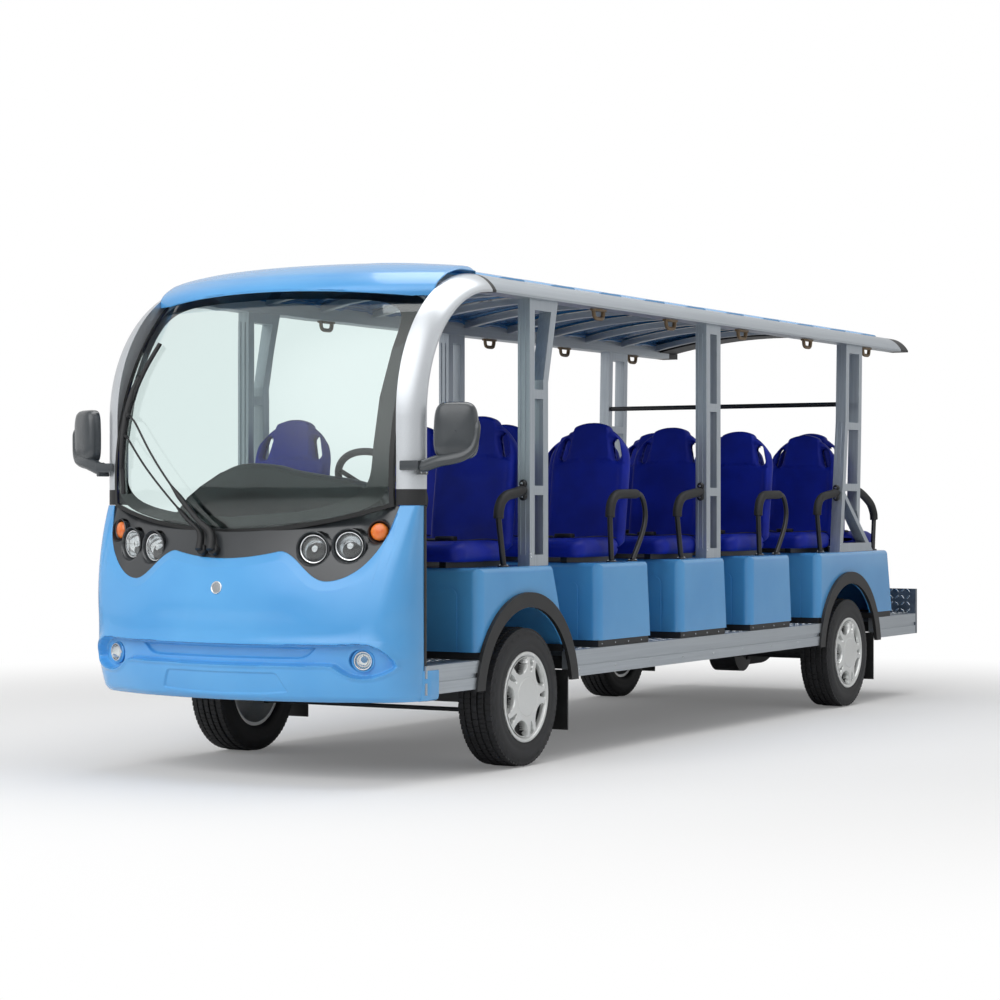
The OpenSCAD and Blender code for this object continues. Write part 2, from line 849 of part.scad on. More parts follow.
// seat back outline: round shoulders and hand slots
module back_shape() {
  half = seat_w / 2 - 12;
  difference() {
    union() {
      translate([0, back_h - half]) circle(half, $fn = 96);
      translate([-half, 50]) square([2 * half, back_h - half - 50]);
      translate([-half, 0]) round_rect(2 * half, 200, 50);
    }
    both_sides() translate([seat_w / 2 - 74, back_h - 118]) rotate(14) slot_hole();
  }
}

module slot_hole() {
  translate([-14, -42]) round_rect(28, 84, 13.9);
}

module seat_backs() {
  color("#2b3fb0") from_axle() each_seat() {
    translate([0, cushion_d + 0.3, seat_z + 40]) rotate([-$lean, 0, 0]) front_cut(0, 62) back_shape();
  }
}

module seat_frames() {
  color("#1c1d1f") from_axle() each_seat() {
    both_sides() block([90, 120], [34, cushion_d + 78], [base_top, seat_z]);
    both_sides() translate([0, cushion_d + 0.3, seat_z + 40]) rotate([-$lean, 0, 0])
      translate([94, 62.3, -48]) cube([22, 20, 252]);
  }
}

// arm rails: soft grip on a bent tube
arm_x = half_w - 44;
arm_z = base_top + 292;

module arm_rails() {
  tube = 24;
  grip = 44;
  foot = base_top + 6;
  color("#1f2022") from_axle() both_sides() {
    // rails that end on a post: foot place, post face
    for (a = [[front_post_y - 183, front_post_y], [middle_post_y - 230, middle_post_y],
        [rear_post_y - 210, rear_post_y + 28]]) {
      arm_foot(a[0] + 20);
      rod([arm_x, a[0] + 20, foot], [arm_x, a[0] - 20, arm_z - 90], tube);
      rod_path([[arm_x, a[0] - 20, arm_z - 100], [arm_x, a[0] + 40, arm_z - 10],
        [arm_x, a[1] - 4, arm_z + 16]], grip);
    }
    // free loops
    for (y = [row_front[0] + 200, row_front[2] + 200]) {
      arm_foot(y);
      arm_foot(y + 200);
      rod([arm_x, y, foot], [arm_x, y - 14, arm_z - 90], tube);
      rod_path([[arm_x, y - 14, arm_z - 100], [arm_x, y + 46, arm_z], [arm_x, y + 266, arm_z + 1]], grip);
      translate([arm_x, y + 266, arm_z + 1]) rotate([0, 25, 0]) sphere(d = grip + 2);
      rod_path([[arm_x, y + 270, arm_z - 4], [arm_x, y + 328, arm_z - 92],
        [arm_x, y + 198, foot + 1]], tube - 1);
    }
    // rail beside the rearward seats
    arm_foot(wheelbase + 450);
    rod_path([[arm_x, rear_post_y + 300, arm_z + 30], [arm_x, wheelbase + 420, arm_z - 40],
      [arm_x, wheelbase + 470, arm_z - 130]], grip);
    rod([arm_x, wheelbase + 466, arm_z - 120], [arm_x, wheelbase + 450, foot], tube);
  }
}

module arm_foot(y) {
  translate([arm_x, y, base_top]) rotate([0, 0, 37]) cylinder(h = 14, d = 42);
}

module grab_handles() {
  x = rail_in + 40;
  color("#8d7458") from_axle() both_sides() {
    for (k = [0.2035, 0.407, 0.634, 0.866, 1.099]) {
      y = k * wheelbase;
      translate([x - 14, y - 60, rail_bottom - 44]) difference() {
        side_cut(0, 28) round_rect(120, 60, 16);
        side_cut(-5, 40) translate([22, 18]) round_rect(76, 60, 10);
        translate([-5, -5, 44]) cube([60, 150, 40]);
      }
    }
  }
}

// mirrors on arms from the front pillars
mirror_x = half_w + 123;
mirror_y = nose_y + 343;
mirror_z = socket_bottom + 277;
mirror_w = 170;
mirror_yaw = 28;
mirror_h = 216;
mirror_d = 62;
mirror_arm_z = socket_bottom + 145;

// plate with rounded corners in the plane of a mirror, smaller by a all round
module mirror_plate(a, y, t) {
  translate([mirror_x, mirror_y, mirror_z]) rotate([0, 0, mirror_yaw])
    translate([-mirror_w / 2 + a, 0, -mirror_h / 2 + a])
    front_cut(y, t) round_rect(mirror_w - 2 * a, mirror_h - 2 * a, 50 - a);
}

module mirror_housings() {
  color("#3a3d40") from_axle() both_sides() {
    difference() {
      mirror_plate(0, -mirror_d, mirror_d);
      mirror_plate(10, -10, 40);
    }
    translate([rail_in + rail_w + 0.3, mirror_y - 70, mirror_arm_z]) rotate([0, 90, 0])
      cylinder(h = 18, d = 52);
    rod([rail_in + rail_w + 12, mirror_y - 68, mirror_arm_z + 2],
      [mirror_x - 4, mirror_y - 48, mirror_z - mirror_h / 2 + 26], 34);
  }
}

module mirror_glasses() {
  color("#d8dde0") from_axle() both_sides() {
    mirror_plate(12, -10, 5);
  }
}

// front of the glass at x and z
function glass_y(x, z) =
  nose_axis - sqrt(pow(glass_ring + sqrt(pow(glass_arc, 2) - pow(z - glass_mid_z, 2)), 2) - x * x);

function on_glass(x, z, off) = [x, glass_y(x, z) - off, z];

// parked wiper: two arms from the middle and a long blade by the side of the glass
wiper_x = glass_half - 78;
pivot_z = glass_low - 83;

// point on the wiper blade: distance in from the outer end, share of the glass height, height off the glass
function blade(dx, k, off) = on_glass(-wiper_x + dx, glass_low + k * (glass_top - glass_low), off);

// wiper arms: pivot x, thickness, then two places along the arm: distance in, share of the height, lift
arms = [[-40, 13, [225, 0.262, 50], [0, 0.472, 24]], [-96, 9, [190, 0.215, 48], [0, 0.386, 22]]];

// rods that meet in round knuckles
module linkage(pts, d) {
  last = len(pts) - 1;
  for (i = [0 : last - 1]) {
    u = (pts[i + 1] - pts[i]) / norm(pts[i + 1] - pts[i]);
    rod(pts[i] + (i > 0 ? 0.35 * d : 0) * u, pts[i + 1] - (i + 1 < last ? 0.35 * d : 0) * u, d);
  }
  for (i = [1 : last - 1]) {
    translate(pts[i]) rotate([90, 0, 0]) cylinder(h = 1.7 * d, d = 2 * d, center = true);
  }
}

module wiper() {
  color("#17181a") from_axle() {
    for (w = arms) {
      translate([w[0], nose_y + 56, pivot_z]) rotate([68, 0, 0]) cylinder(h = 42, d = 40);
      places = [for (i = [2 : 3]) blade(w[i][0], w[i][1], w[i][2])];
      linkage(concat([[w[0], nose_y + 36, pivot_z + 9]], places), w[1]);
    }
    linkage([blade(-18, 0.143, 16), blade(-28, 0.36, 24), blade(-16, 0.58, 24), blade(50, 0.786, 14)], 12);
  }
}

module headlamps() {
  color("#dfe4e8") from_axle() both_sides() {
    for (p = lamps) {
      lamp_axis(p) {
        translate([0, 0, -58]) cylinder(h = 40, d1 = 60, d2 = lamp_d);
        translate([0, 0, -18]) cylinder(h = 18, d = lamp_d);
      }
    }
  }
}

module turn_signals() {
  color("#e8761a") from_axle() both_sides() lamp_axis(signal) {
    translate([0, 0, -26]) cylinder(h = 34, d = signal_d);
  }
}

module fog_lamps() {
  color("#e3e7ea") from_axle() both_sides() fog_place() {
    translate([0, 0, -50]) cylinder(h = 58, d = fog_d);
  }
}

module tail_lamps() {
  color("#b3201c") from_axle() both_sides() {
    for (x = [470, 590]) {
      translate([x, rear_end - 14, floor_z + 66]) rotate([-90, 0, 0]) cylinder(h = 14, d = 84);
    }
  }
}

// hood over the dashboard: across, and height above the panel top
hood_line = [[-0.65, -20], [-0.5, 95], [-0.41, 136], [-0.26, 190], [-0.11, 221], [0.09, 216], [0.23, 196],
  [0.63, 160], [0.86, 105], [0.93, -20]];

module dashboard() {
  y = nose_y + 250;
  top = glass_low + 26;
  color("#2c2e31") from_axle() difference() {
    union() {
      intersection() {
        side_cut(-rail_in + 25, 2 * rail_in - 50) polygon([[y, floor_z], [y + 60, floor_z],
          [y + 60, top - 185], [y + 150, top - 85], [y + 160, top - 35], [y + 100, top], [y + 40, top + 5], [y, top - 25]]);
        nose_solid(wall + 12, 100);
      }
      front_cut(y + 20, 100) polygon([for (h = hood_line) [h[0] * rail_in, top + h[1]]]);
    }
    steer_place() translate([0, 0, -330]) cylinder(h = 300, d = 66.6);
  }
}

// steering column and wheel, centre of the wheel rim
steer_c = [seat_pitch - 30, nose_y + 500, glass_low + 161];

module steer_place() {
  translate(steer_c) rotate([-column_tilt, 0, 0]) children();
}

module steering_column() {
  color("#222326") from_axle() {
    steer_place() {
      translate([0, 0, -300]) cylinder(h = 230, d = 66);
      translate([0, 0, -80]) cylinder(h = 60, d = 20);
    }
  }
}

module steering_wheel() {
  color("#1a1b1d") from_axle() steer_place() {
    rotate_extrude($fn = 96) translate([wheel_d / 2 - 14, 0]) circle(14);
    difference() {
      union() {
        translate([0, 0, -60]) cylinder(h = 52, d = 70);
        for (a = [90, 210, 330]) {
          rotate([0, 0, a]) rod([20, 0, -34], [wheel_d / 2 - 14, 0, 0], 18);
        }
      }
      translate([0, 0, -90]) cylinder(h = 75, d = 20.1);
    }
  }
}

module rear_step() {
  color("#6d7278") from_axle() {
    block([-side_x, side_x], [rear_end - 40, rear_end - 14], [sill_bottom, floor_z + 136]);
    block([-half_w + 33, half_w - 33], [rear_base_back + 70, rear_end - 40], [floor_z, floor_z + 4]);
  }
}

module mud_flaps() {
  color("#1a1b1c") from_axle() both_sides() {
    for (y = [arch_r - 8, wheelbase + arch_r - 8]) {
      block([wheel_x - 90, wheel_x + 80], [y, y + 8], [hub_z - 160, sill_bottom + 30]);
    }
  }
}

module front_axle() {
  color("#2e3033") from_axle() difference() {
    union() {
      block([-kingpin_x + 40, kingpin_x - 40], [-28, 28], [hub_z - 30, hub_z + 30]);
      both_sides() translate([kingpin_x, 0, hub_z - 30]) cylinder(h = 60, d = 50);
      both_sides() block([kingpin_x - 50, kingpin_x - 14], [-22, 22], [hub_z - 26, hub_z + 26]);
    }
    both_sides() translate([kingpin_x, 0, hub_z - 60]) cylinder(h = 120, d = 24.1);
  }
}

// turning parts are drawn for the left side
module knuckle() {
  translate([kingpin_x, 0, 0]) {
    translate([0, 0, hub_z - 46]) cylinder(h = 92, d = 24);
    for (z = [hub_z - 46, hub_z + 34]) {
      translate([0, 0, z]) cylinder(h = 12, d = 50);
      translate([0, -24, z]) cube([46, 48, 12]);
    }
    translate([32, -24, hub_z - 46]) cube([14, 48, 92]);
    translate([44, 0, hub_z]) rotate([0, 90, 0]) cylinder(h = 46, d = 40);
    block([-14, 14], [0, steer_arm], [hub_z - 58, hub_z - 46]);
    translate([0, steer_arm, hub_z - 58]) cylinder(h = 12, d = 34);
    translate([0, steer_arm, hub_z - 84]) cylinder(h = 30, d = 14);
  }
}

module left_knuckle() {
  color("#55585c") from_axle() knuckle();
}

module right_knuckle() {
  color("#55585c") from_axle() mirror([1, 0, 0]) knuckle();
}

module tie_rod() {
  color("#3c3f43") from_axle() difference() {
    union() {
      rod([-kingpin_x + 12, steer_arm, hub_z - 72], [kingpin_x - 12, steer_arm, hub_z - 72], 18);
      both_sides() translate([kingpin_x, steer_arm, hub_z - 82]) cylinder(h = 20, d = 30);
    }
    both_sides() translate([kingpin_x, steer_arm, hub_z - 100]) cylinder(h = 60, d = 14.1);
  }
}

module rear_axle() {
  color("#2e3033") from_axle() translate([0, wheelbase, hub_z]) {
    rotate([0, 90, 0]) cylinder(h = 2 * wheel_x - 24, d = 76, center = true);
    both_sides() translate([wheel_x - 14, 0, 0]) rotate([0, 90, 0]) cylinder(h = 52, d = 40);
    translate([60, 0, 0]) rotate([0, 90, 0]) cylinder(h = 150, d = 230, center = true);
    translate([60, 40, 0]) rotate([-90, 0, 0]) cylinder(h = 320, d = 190);
  }
}

module leaf_springs() {
  color("#26282b") from_axle() both_sides() {
    for (p = springs) {
      for (i = [0 : p[3] - 1]) {
        block([p[0] - 28, p[0] + 28], [p[1] - spring_half + i * 100, p[1] + spring_half - i * 100],
          [p[2] + leaf_t * (p[3] - 1 - i), p[2] + leaf_t * (p[3] - i)]);
      }
    }
  }
}

module battery_blocks() {
  color("#50545a") from_axle() {
    for (y = row_front) {
      block([-half_w + 175, half_w - 175], [y + 70, y + base_depth - 40], [floor_z, base_top - 90]);
    }
  }
}

// wheel and tyre about the X axis, outer side toward +X
module tyre() {
  r = tyre_d / 2;
  w = tyre_w / 2;
  rim = cover_d / 2 - 10;
  side = rim + 0.31 * (r - rim);
  rotate([0, 90, 0]) rotate_extrude($fn = 128) {
    translate([side, -w]) square([r - 18 - side, tyre_w]);
    translate([side, -w + 18]) square([r - side, tyre_w - 36]);
    translate([r - 18, -w + 18]) circle(18);
    translate([r - 18, w - 18]) circle(18);
    polygon([[side, -w], [side, w], [rim + 0.3, w - 14], [rim + 0.3, -w + 14]]);
  }
}

module wheel_disc() {
  w = tyre_w / 2;
  rr = cover_d / 2;
  difference() {
    rotate([0, 90, 0]) rotate_extrude($fn = 96) {
      polygon([[rr - 24, -w + 18], [rr - 10, -w + 18], [rr - 10, w - 13], [rr, w - 2], [rr, w],
        [rr - 12, w + 2],
        [rr - 30, w - 6], [70, w + 2], [56, w + 6], [20, w + 8], [20, w - 4], [60, w - 10], [rr - 40, w - 16],
        [rr - 24, w - 30]]);
      polygon([[20.05, -4], [50, -4], [50, w - 6], [20.05, w - 6]]);
    }
    for (i = [0 : 5], k = [-1, 1]) {
      rotate([i * 60 + k * 19, 0, 0]) side_cut(w - 40, 90)
        polygon([[-10, rr - 98], [10, rr - 98], [22, rr - 44], [-22, rr - 44]]);
    }
    for (i = [0 : 5]) {
      rotate([i * 60 + 30, 0, 0]) side_cut(w - 40, 90)
        polygon([[-4, rr - 90], [4, rr - 90], [5, rr - 44], [-5, rr - 44]]);
    }
  }
}

module at_wheel(side, y) {
  from_axle() translate([0, y, hub_z]) scale_x(side) translate([wheel_x, 0, 0]) children();
}

module scale_x(k) {
  if (k > 0) {
    children();
  } else {
    mirror([1, 0, 0]) children();
  }
}

module tyre_front_left() {
  color("#1b1c1d") at_wheel(1, 0) tyre();
}

module tyre_front_right() {
  color("#1b1c1d") at_wheel(-1, 0) tyre();
}

module tyre_rear_left() {
  color("#1b1c1d") at_wheel(1, wheelbase) tyre();
}

module tyre_rear_right() {
  color("#1b1c1d") at_wheel(-1, wheelbase) tyre();
}

module wheel_front_left() {
  color("#dfe1e0") at_wheel(1, 0) wheel_disc();
}

module wheel_front_right() {
  color("#dfe1e0") at_wheel(-1, 0) wheel_disc();
}

module wheel_rear_left() {
  color("#dfe1e0") at_wheel(1, wheelbase) wheel_disc();
}

module wheel_rear_right() {
  color("#dfe1e0") at_wheel(-1, wheelbase) wheel_disc();
}

chassis_frame();
floor_deck();
side_sills();
front_seat_base();
middle_seat_bases();
rear_seat_base();
base_plinths();
arch_flares();
front_cowl();
lamp_mask();
windscreen();
windscreen_seal();
front_pillars();
pillar_sockets();
front_roof_cap();
roof_panels();
roof_side_rails();
roof_bows();
rear_roof_cap();
front_posts();
middle_posts();
rear_posts();
rear_cross_bar();
seat_cushions();
seat_backs();
seat_frames();
arm_rails();
grab_handles();
mirror_housings();
mirror_glasses();
wiper();
headlamps();
turn_signals();
fog_lamps();
tail_lamps();
dashboard();
steering_column();
rear_step();
mud_flaps();
front_axle();
rear_axle();
leaf_springs();
battery_blocks();
steering_wheel();
left_knuckle();
right_knuckle();
tie_rod();
tyre_front_left();
tyre_front_right();
tyre_rear_left();
tyre_rear_right();
wheel_front_left();
wheel_front_right();
wheel_rear_left();
wheel_rear_right();
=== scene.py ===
# Electric sightseeing bus: materials, soft seats, tread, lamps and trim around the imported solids.
import math
import bmesh
import bpy
from mathutils import Matrix, Vector


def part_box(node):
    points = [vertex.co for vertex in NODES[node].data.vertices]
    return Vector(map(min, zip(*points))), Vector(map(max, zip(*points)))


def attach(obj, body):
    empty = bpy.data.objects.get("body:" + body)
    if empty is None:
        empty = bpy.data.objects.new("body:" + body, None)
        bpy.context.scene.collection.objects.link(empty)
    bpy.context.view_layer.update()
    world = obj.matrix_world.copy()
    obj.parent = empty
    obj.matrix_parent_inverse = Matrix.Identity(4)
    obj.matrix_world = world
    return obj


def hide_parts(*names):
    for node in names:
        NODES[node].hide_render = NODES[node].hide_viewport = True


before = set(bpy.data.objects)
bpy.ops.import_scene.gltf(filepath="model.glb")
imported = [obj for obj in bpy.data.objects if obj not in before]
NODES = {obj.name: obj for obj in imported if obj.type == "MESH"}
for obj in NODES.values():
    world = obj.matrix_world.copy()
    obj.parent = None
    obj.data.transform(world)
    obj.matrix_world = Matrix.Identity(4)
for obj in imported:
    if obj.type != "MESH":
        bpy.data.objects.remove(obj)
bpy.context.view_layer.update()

# the front axle stands this far ahead of the middle of the bus, in metres
AXLE_Y = -1.670

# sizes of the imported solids, in millimetres; places along the bus count from the front axle
WHEEL_X, HUB_Z, REAR_AXLE = 652, 280, 3440
FLOOR_Z, BASE_TOP = 447, 804.0

# wheels: name, side of the bus, place along it
WHEELS = [("front_left", 1, 0), ("front_right", -1, 0),
          ("rear_left", 1, REAR_AXLE), ("rear_right", -1, REAR_AXLE)]


def mm(x, y, z):
    """A point in millimetres, measured along the bus from the front axle, as metres in the shared frame."""
    return Vector((x / 1000, AXLE_Y + y / 1000, z / 1000))


# materials

def hex_linear(text):
    """An sRGB hex colour as linear RGBA."""
    parts = [int(text[i:i + 2], 16) / 255 for i in (1, 3, 5)]
    return tuple(p / 12.92 if p <= 0.04045 else ((p + 0.055) / 1.055) ** 2.4 for p in parts) + (1.0,)


def add(tree, kind, links=(), **settings):
    """Adds one node: settings by socket or property name, links as (socket, other node, its output)."""
    n = tree.nodes.new(kind)
    for key, value in settings.items():
        sock = n.inputs.get(key.replace("_", " "))
        if sock is not None and not hasattr(type(n), key):
            sock.default_value = value
        else:
            setattr(n, key, value)
    for sock, other, out in links:
        tree.links.new(other.outputs[out], n.inputs[sock])
    return n


def start(name, colour, **shader):
    """A material with its shader, object coordinates in millimetres and the tree."""
    m = bpy.data.materials.new(name)
    m.use_nodes = True
    t = m.node_tree
    p = t.nodes["Principled BSDF"]
    p.inputs["Base Color"].default_value = hex_linear(colour)
    for key, value in shader.items():
        p.inputs[key.replace("_", " ")].default_value = value
    m.diffuse_color = hex_linear(colour)
    c = add(t, "ShaderNodeTexCoord")
    scale = add(t, "ShaderNodeVectorMath", [(0, c, "Object")], operation="SCALE")
    scale.inputs["Scale"].default_value = 1000.0
    return m, t, p, scale


def noise(t, coords, size, detail=2.0):
    """Noise with patches of that size in mm."""
    return add(t, "ShaderNodeTexNoise", [("Vector", coords, 0)], Scale=1.0 / size, Detail=detail)


def mottle(t, p, coords, one, two, size, detail=3.0, low=0.35, high=0.65):
    """Base colour wandering between two tones over patches of that size in mm."""
    n = noise(t, coords, size, detail)
    r = add(t, "ShaderNodeValToRGB", [("Fac", n, 0)])
    r.color_ramp.elements[0].position = low
    r.color_ramp.elements[0].color = hex_linear(one)
    r.color_ramp.elements[1].position = high
    r.color_ramp.elements[1].color = hex_linear(two)
    t.links.new(r.outputs["Color"], p.inputs["Base Color"])
    return n


def rough_from(t, p, source, low, high):
    """Roughness between two values, driven by a texture."""
    r = add(t, "ShaderNodeMapRange", [("Value", source, 0)])
    r.inputs["To Min"].default_value = low
    r.inputs["To Max"].default_value = high
    t.links.new(r.outputs[0], p.inputs["Roughness"])


def bump(t, p, source, height, strength=1.0, out=0):
    """Bump of that height in mm from a texture."""
    b = add(t, "ShaderNodeBump", [("Height", source, out)], Strength=strength, Distance=height / 1000)
    t.links.new(b.outputs["Normal"], p.inputs["Normal"])


# sprayed gel coat on moulded fibreglass: deep gloss, faint orange peel about 3 mm across
def gelcoat(name, one, two):
    m, t, p, c = start(name, one, Roughness=0.24, Coat_Weight=0.55, Coat_Roughness=0.06)
    mottle(t, p, c, one, two, 420)
    n = noise(t, c, 3.0)
    bump(t, p, n, 0.05, 0.35)
    return m


sky_gelcoat = gelcoat("gelcoat_sky_blue", "#4E9FDE", "#58A7E3")
# darker copy of the sky blue gel coat for the roof's inner face: painted shade under the roof
painted_shade_gelcoat = gelcoat("gelcoat_roof_underside_painted_shade", "#2C6596", "#336EA0")


# drawn and anodised aluminium: satin, with fine lines along the length, drawn 6 mm wide so that they show
def drawn_alloy(name, one, two, stretch, rough=0.36, metal=0.75):
    m, t, p, c = start(name, one, Roughness=rough, Metallic=metal)
    s = add(t, "ShaderNodeVectorMath", [(0, c, 0)], operation="MULTIPLY")
    s.inputs[1].default_value = stretch
    n = mottle(t, p, s, one, two, 6.0, 2.0, 0.3, 0.7)
    rough_from(t, p, n, rough - 0.06, rough + 0.08)
    bump(t, p, n, 0.05, 0.25)
    return m


alloy_along = drawn_alloy("anodised_aluminium_rail", "#A9B0B7", "#B4BBC1", (1, 0.01, 1))
alloy_upright = drawn_alloy("anodised_aluminium_post", "#A8B0B8", "#B6BEC5", (1, 1, 0.01))
alloy_across = drawn_alloy("anodised_aluminium_bow", "#A4ABB2", "#AFB6BC", (0.01, 1, 1))


# silver paint over bent steel: fine flake, soft gloss
def silver_paint(name, one, two, rough):
    m, t, p, c = start(name, one, Roughness=rough, Metallic=0.55, Coat_Weight=0.3, Coat_Roughness=0.1)
    n = mottle(t, p, c, one, two, 1.6, 2.0, 0.3, 0.7)
    bump(t, p, n, 0.02, 0.2)
    return m


pillar_silver = silver_paint("silver_paint_pillar", "#C2C7CC", "#D2D6DA", 0.28)
wheel_silver = silver_paint("silver_paint_wheel_cover", "#D2D4D3", "#DFE1E0", 0.34)


# moulded ABS: even grain about 1.5 mm across, low sheen
def grained_plastic(name, one, two, rough, grain=1.5, depth=0.12):
    m, t, p, c = start(name, one, Roughness=rough)
    n = noise(t, c, grain, 3.0)
    mottle(t, p, c, one, two, 160)
    rough_from(t, p, n, rough - 0.08, rough + 0.1)
    bump(t, p, n, depth, 0.5)
    return m


black_abs = grained_plastic("abs_black_grained", "#121315", "#191A1C", 0.5)
dark_abs = grained_plastic("abs_dark_grey_dash", "#26292C", "#2E3235", 0.5)
hood_abs = grained_plastic("abs_smooth_grey_hood", "#22272A", "#2A3033", 0.42, 0.6, 0.02)
handle_tan = grained_plastic("nylon_tan_handle", "#6B573D", "#7A6446", 0.45)
grip_foam = grained_plastic("foam_rubber_grip", "#0D0E0F", "#141516", 0.62, 2.2, 0.25)
battery_grey = grained_plastic("polypropylene_battery_case", "#4A4E53", "#54585D", 0.5)


# polished dark moulding: gloss with slight waviness
def gloss_plastic(name, one, two, rough=0.2):
    m, t, p, c = start(name, one, Roughness=rough, Coat_Weight=0.4, Coat_Roughness=0.08)
    mottle(t, p, c, one, two, 260)
    n = noise(t, c, 5.0, 1.0)
    bump(t, p, n, 0.05, 0.25)
    return m


mask_grey = gloss_plastic("abs_mask_grey", "#2D3033", "#35383B", 0.3)
mirror_grey = gloss_plastic("abs_mirror_grey", "#34393D", "#3E4347", 0.26)


# black powder coat on tube: fine pebble
def powder_coat(name, one, two, rough=0.38):
    m, t, p, c = start(name, one, Roughness=rough)
    mottle(t, p, c, one, two, 90)
    n = noise(t, c, 1.2)
    bump(t, p, n, 0.06, 0.4)
    return m


tube_black = powder_coat("powder_coat_black", "#131416", "#1B1C1E")
chassis_black = powder_coat("chassis_paint_black", "#232528", "#303236", 0.5)


# moulded rubber: dull, slightly dusty
def rubber(name, one, two, rough):
    m, t, p, c = start(name, one, Roughness=rough)
    n = mottle(t, p, c, one, two, 45, 5.0)
    rough_from(t, p, n, rough - 0.1, rough + 0.08)
    f = noise(t, c, 1.0)
    bump(t, p, f, 0.08, 0.4)
    return m


seal_rubber = rubber("rubber_seal", "#101112", "#191A1B", 0.5)
tyre_rubber = rubber("rubber_tyre", "#17181A", "#232427", 0.66)


# knitted-backed vinyl: leather grain about 1.6 mm, soft sheen
def vinyl(name, one, two):
    m, t, p, c = start(name, one, Roughness=0.5, Specular_IOR_Level=0.25)
    mottle(t, p, c, one, two, 130)
    v = add(t, "ShaderNodeTexVoronoi", [("Vector", c, 0)], Scale=1 / 1.8, feature="DISTANCE_TO_EDGE")
    bump(t, p, v, 0.35, 0.4, "Distance")
    return m


seat_vinyl = vinyl("vinyl_royal_blue", "#0D2192", "#1028A8")


# laminated glass: clear, very slightly green
def glass(name, colour):
    m, t, p, c = start(name, colour, Roughness=0.0, IOR=1.5, Transmission_Weight=1.0)
    n = noise(t, c, 900.0, 1.0)
    bump(t, p, n, 0.02, 0.05)
    return m


screen_glass = glass("laminated_glass", "#DDEDEB")
lens_clear = glass("polycarbonate_clear_lens", "#F6F8F8")


# aluminium tread plate: rolled bright metal with grey oxide
def tread_plate(name, one, two):
    m, t, p, c = start(name, one, Roughness=0.38, Metallic=0.85)
    n = mottle(t, p, c, one, two, 60, 5.0)
    rough_from(t, p, n, 0.28, 0.5)
    bump(t, p, n, 0.05, 0.3)
    return m


plate_alloy = tread_plate("aluminium_tread_plate", "#5D656E", "#717982")


# vacuum-coated reflector
def bright(name, colour, rough):
    m, t, p, c = start(name, colour, Roughness=rough, Metallic=1.0)
    n = noise(t, c, 30.0)
    rough_from(t, p, n, rough, rough + 0.05)
    return m


reflector = bright("chrome_reflector", "#E6E9EB", 0.06)
mirror_glass = bright("silvered_mirror", "#DDE3E6", 0.02)


# coloured lens: clear-tinted moulding with flutes 6 mm apart
def lens(name, colour, dark):
    m, t, p, c = start(name, colour, Roughness=0.16, Coat_Weight=0.6, Coat_Roughness=0.04, IOR=1.58)
    mottle(t, p, c, colour, dark, 25)
    w = add(t, "ShaderNodeTexWave", [("Vector", c, 0)], Scale=0.05, bands_direction="X")
    bump(t, p, w, 0.6, 0.4, "Fac")
    return m


amber_lens = lens("acrylic_amber_lens", "#E46A12", "#F08326")
red_lens = lens("acrylic_red_lens", "#A8151A", "#C11E1F")

border_ink = gloss_plastic("ceramic_ink_black", "#0B0C0D", "#121314", 0.3)
bright_steel = bright("zinc_plated_steel", "#B9BDC1", 0.24)


# woven polyester belt: ribs 1.2 mm apart
def woven(name, one, two):
    m, t, p, c = start(name, one, Roughness=0.7)
    mottle(t, p, c, one, two, 30)
    w = add(t, "ShaderNodeTexWave", [("Vector", c, 0)], Scale=0.26, bands_direction="DIAGONAL")
    bump(t, p, w, 0.25, 0.5, "Fac")
    return m


webbing = woven("polyester_webbing_black", "#141517", "#1D1E20")

# which solids have which finish
LOOK = [
    (chassis_black, "chassis_frame front_axle rear_axle leaf_springs left_knuckle right_knuckle tie_rod"),
    (plate_alloy, "floor_deck rear_step"),
    (alloy_along, "side_sills roof_side_rails"),
    (alloy_upright, "front_posts middle_posts rear_posts"),
    (alloy_across, "roof_bows"),
    (sky_gelcoat, "front_seat_base middle_seat_bases rear_seat_base front_cowl front_roof_cap roof_panels"),
    (black_abs, "base_plinths arch_flares pillar_sockets rear_roof_cap wiper steering_column steering_wheel"),
    (mask_grey, "lamp_mask"),
    (screen_glass, "windscreen"),
    (seal_rubber, "windscreen_seal mud_flaps"),
    (pillar_silver, "front_pillars"),
    (tube_black, "rear_cross_bar seat_frames"),
    (seat_vinyl, "seat_cushions seat_backs"),
    (grip_foam, "arm_rails"),
    (handle_tan, "grab_handles"),
    (mirror_grey, "mirror_housings"),
    (mirror_glass, "mirror_glasses"),
    (reflector, "headlamps fog_lamps"),
    (amber_lens, "turn_signals"),
    (red_lens, "tail_lamps"),
    (dark_abs, "dashboard"),
    (battery_grey, "battery_blocks"),
    (tyre_rubber, "tyre_front_left tyre_front_right tyre_rear_left tyre_rear_right"),
    (wheel_silver, "wheel_front_left wheel_front_right wheel_rear_left wheel_rear_right"),
]
for finish, names in LOOK:
    for name in names.split():
        mesh = NODES[name].data
        mesh.materials.clear()
        mesh.materials.append(finish)


# making pieces

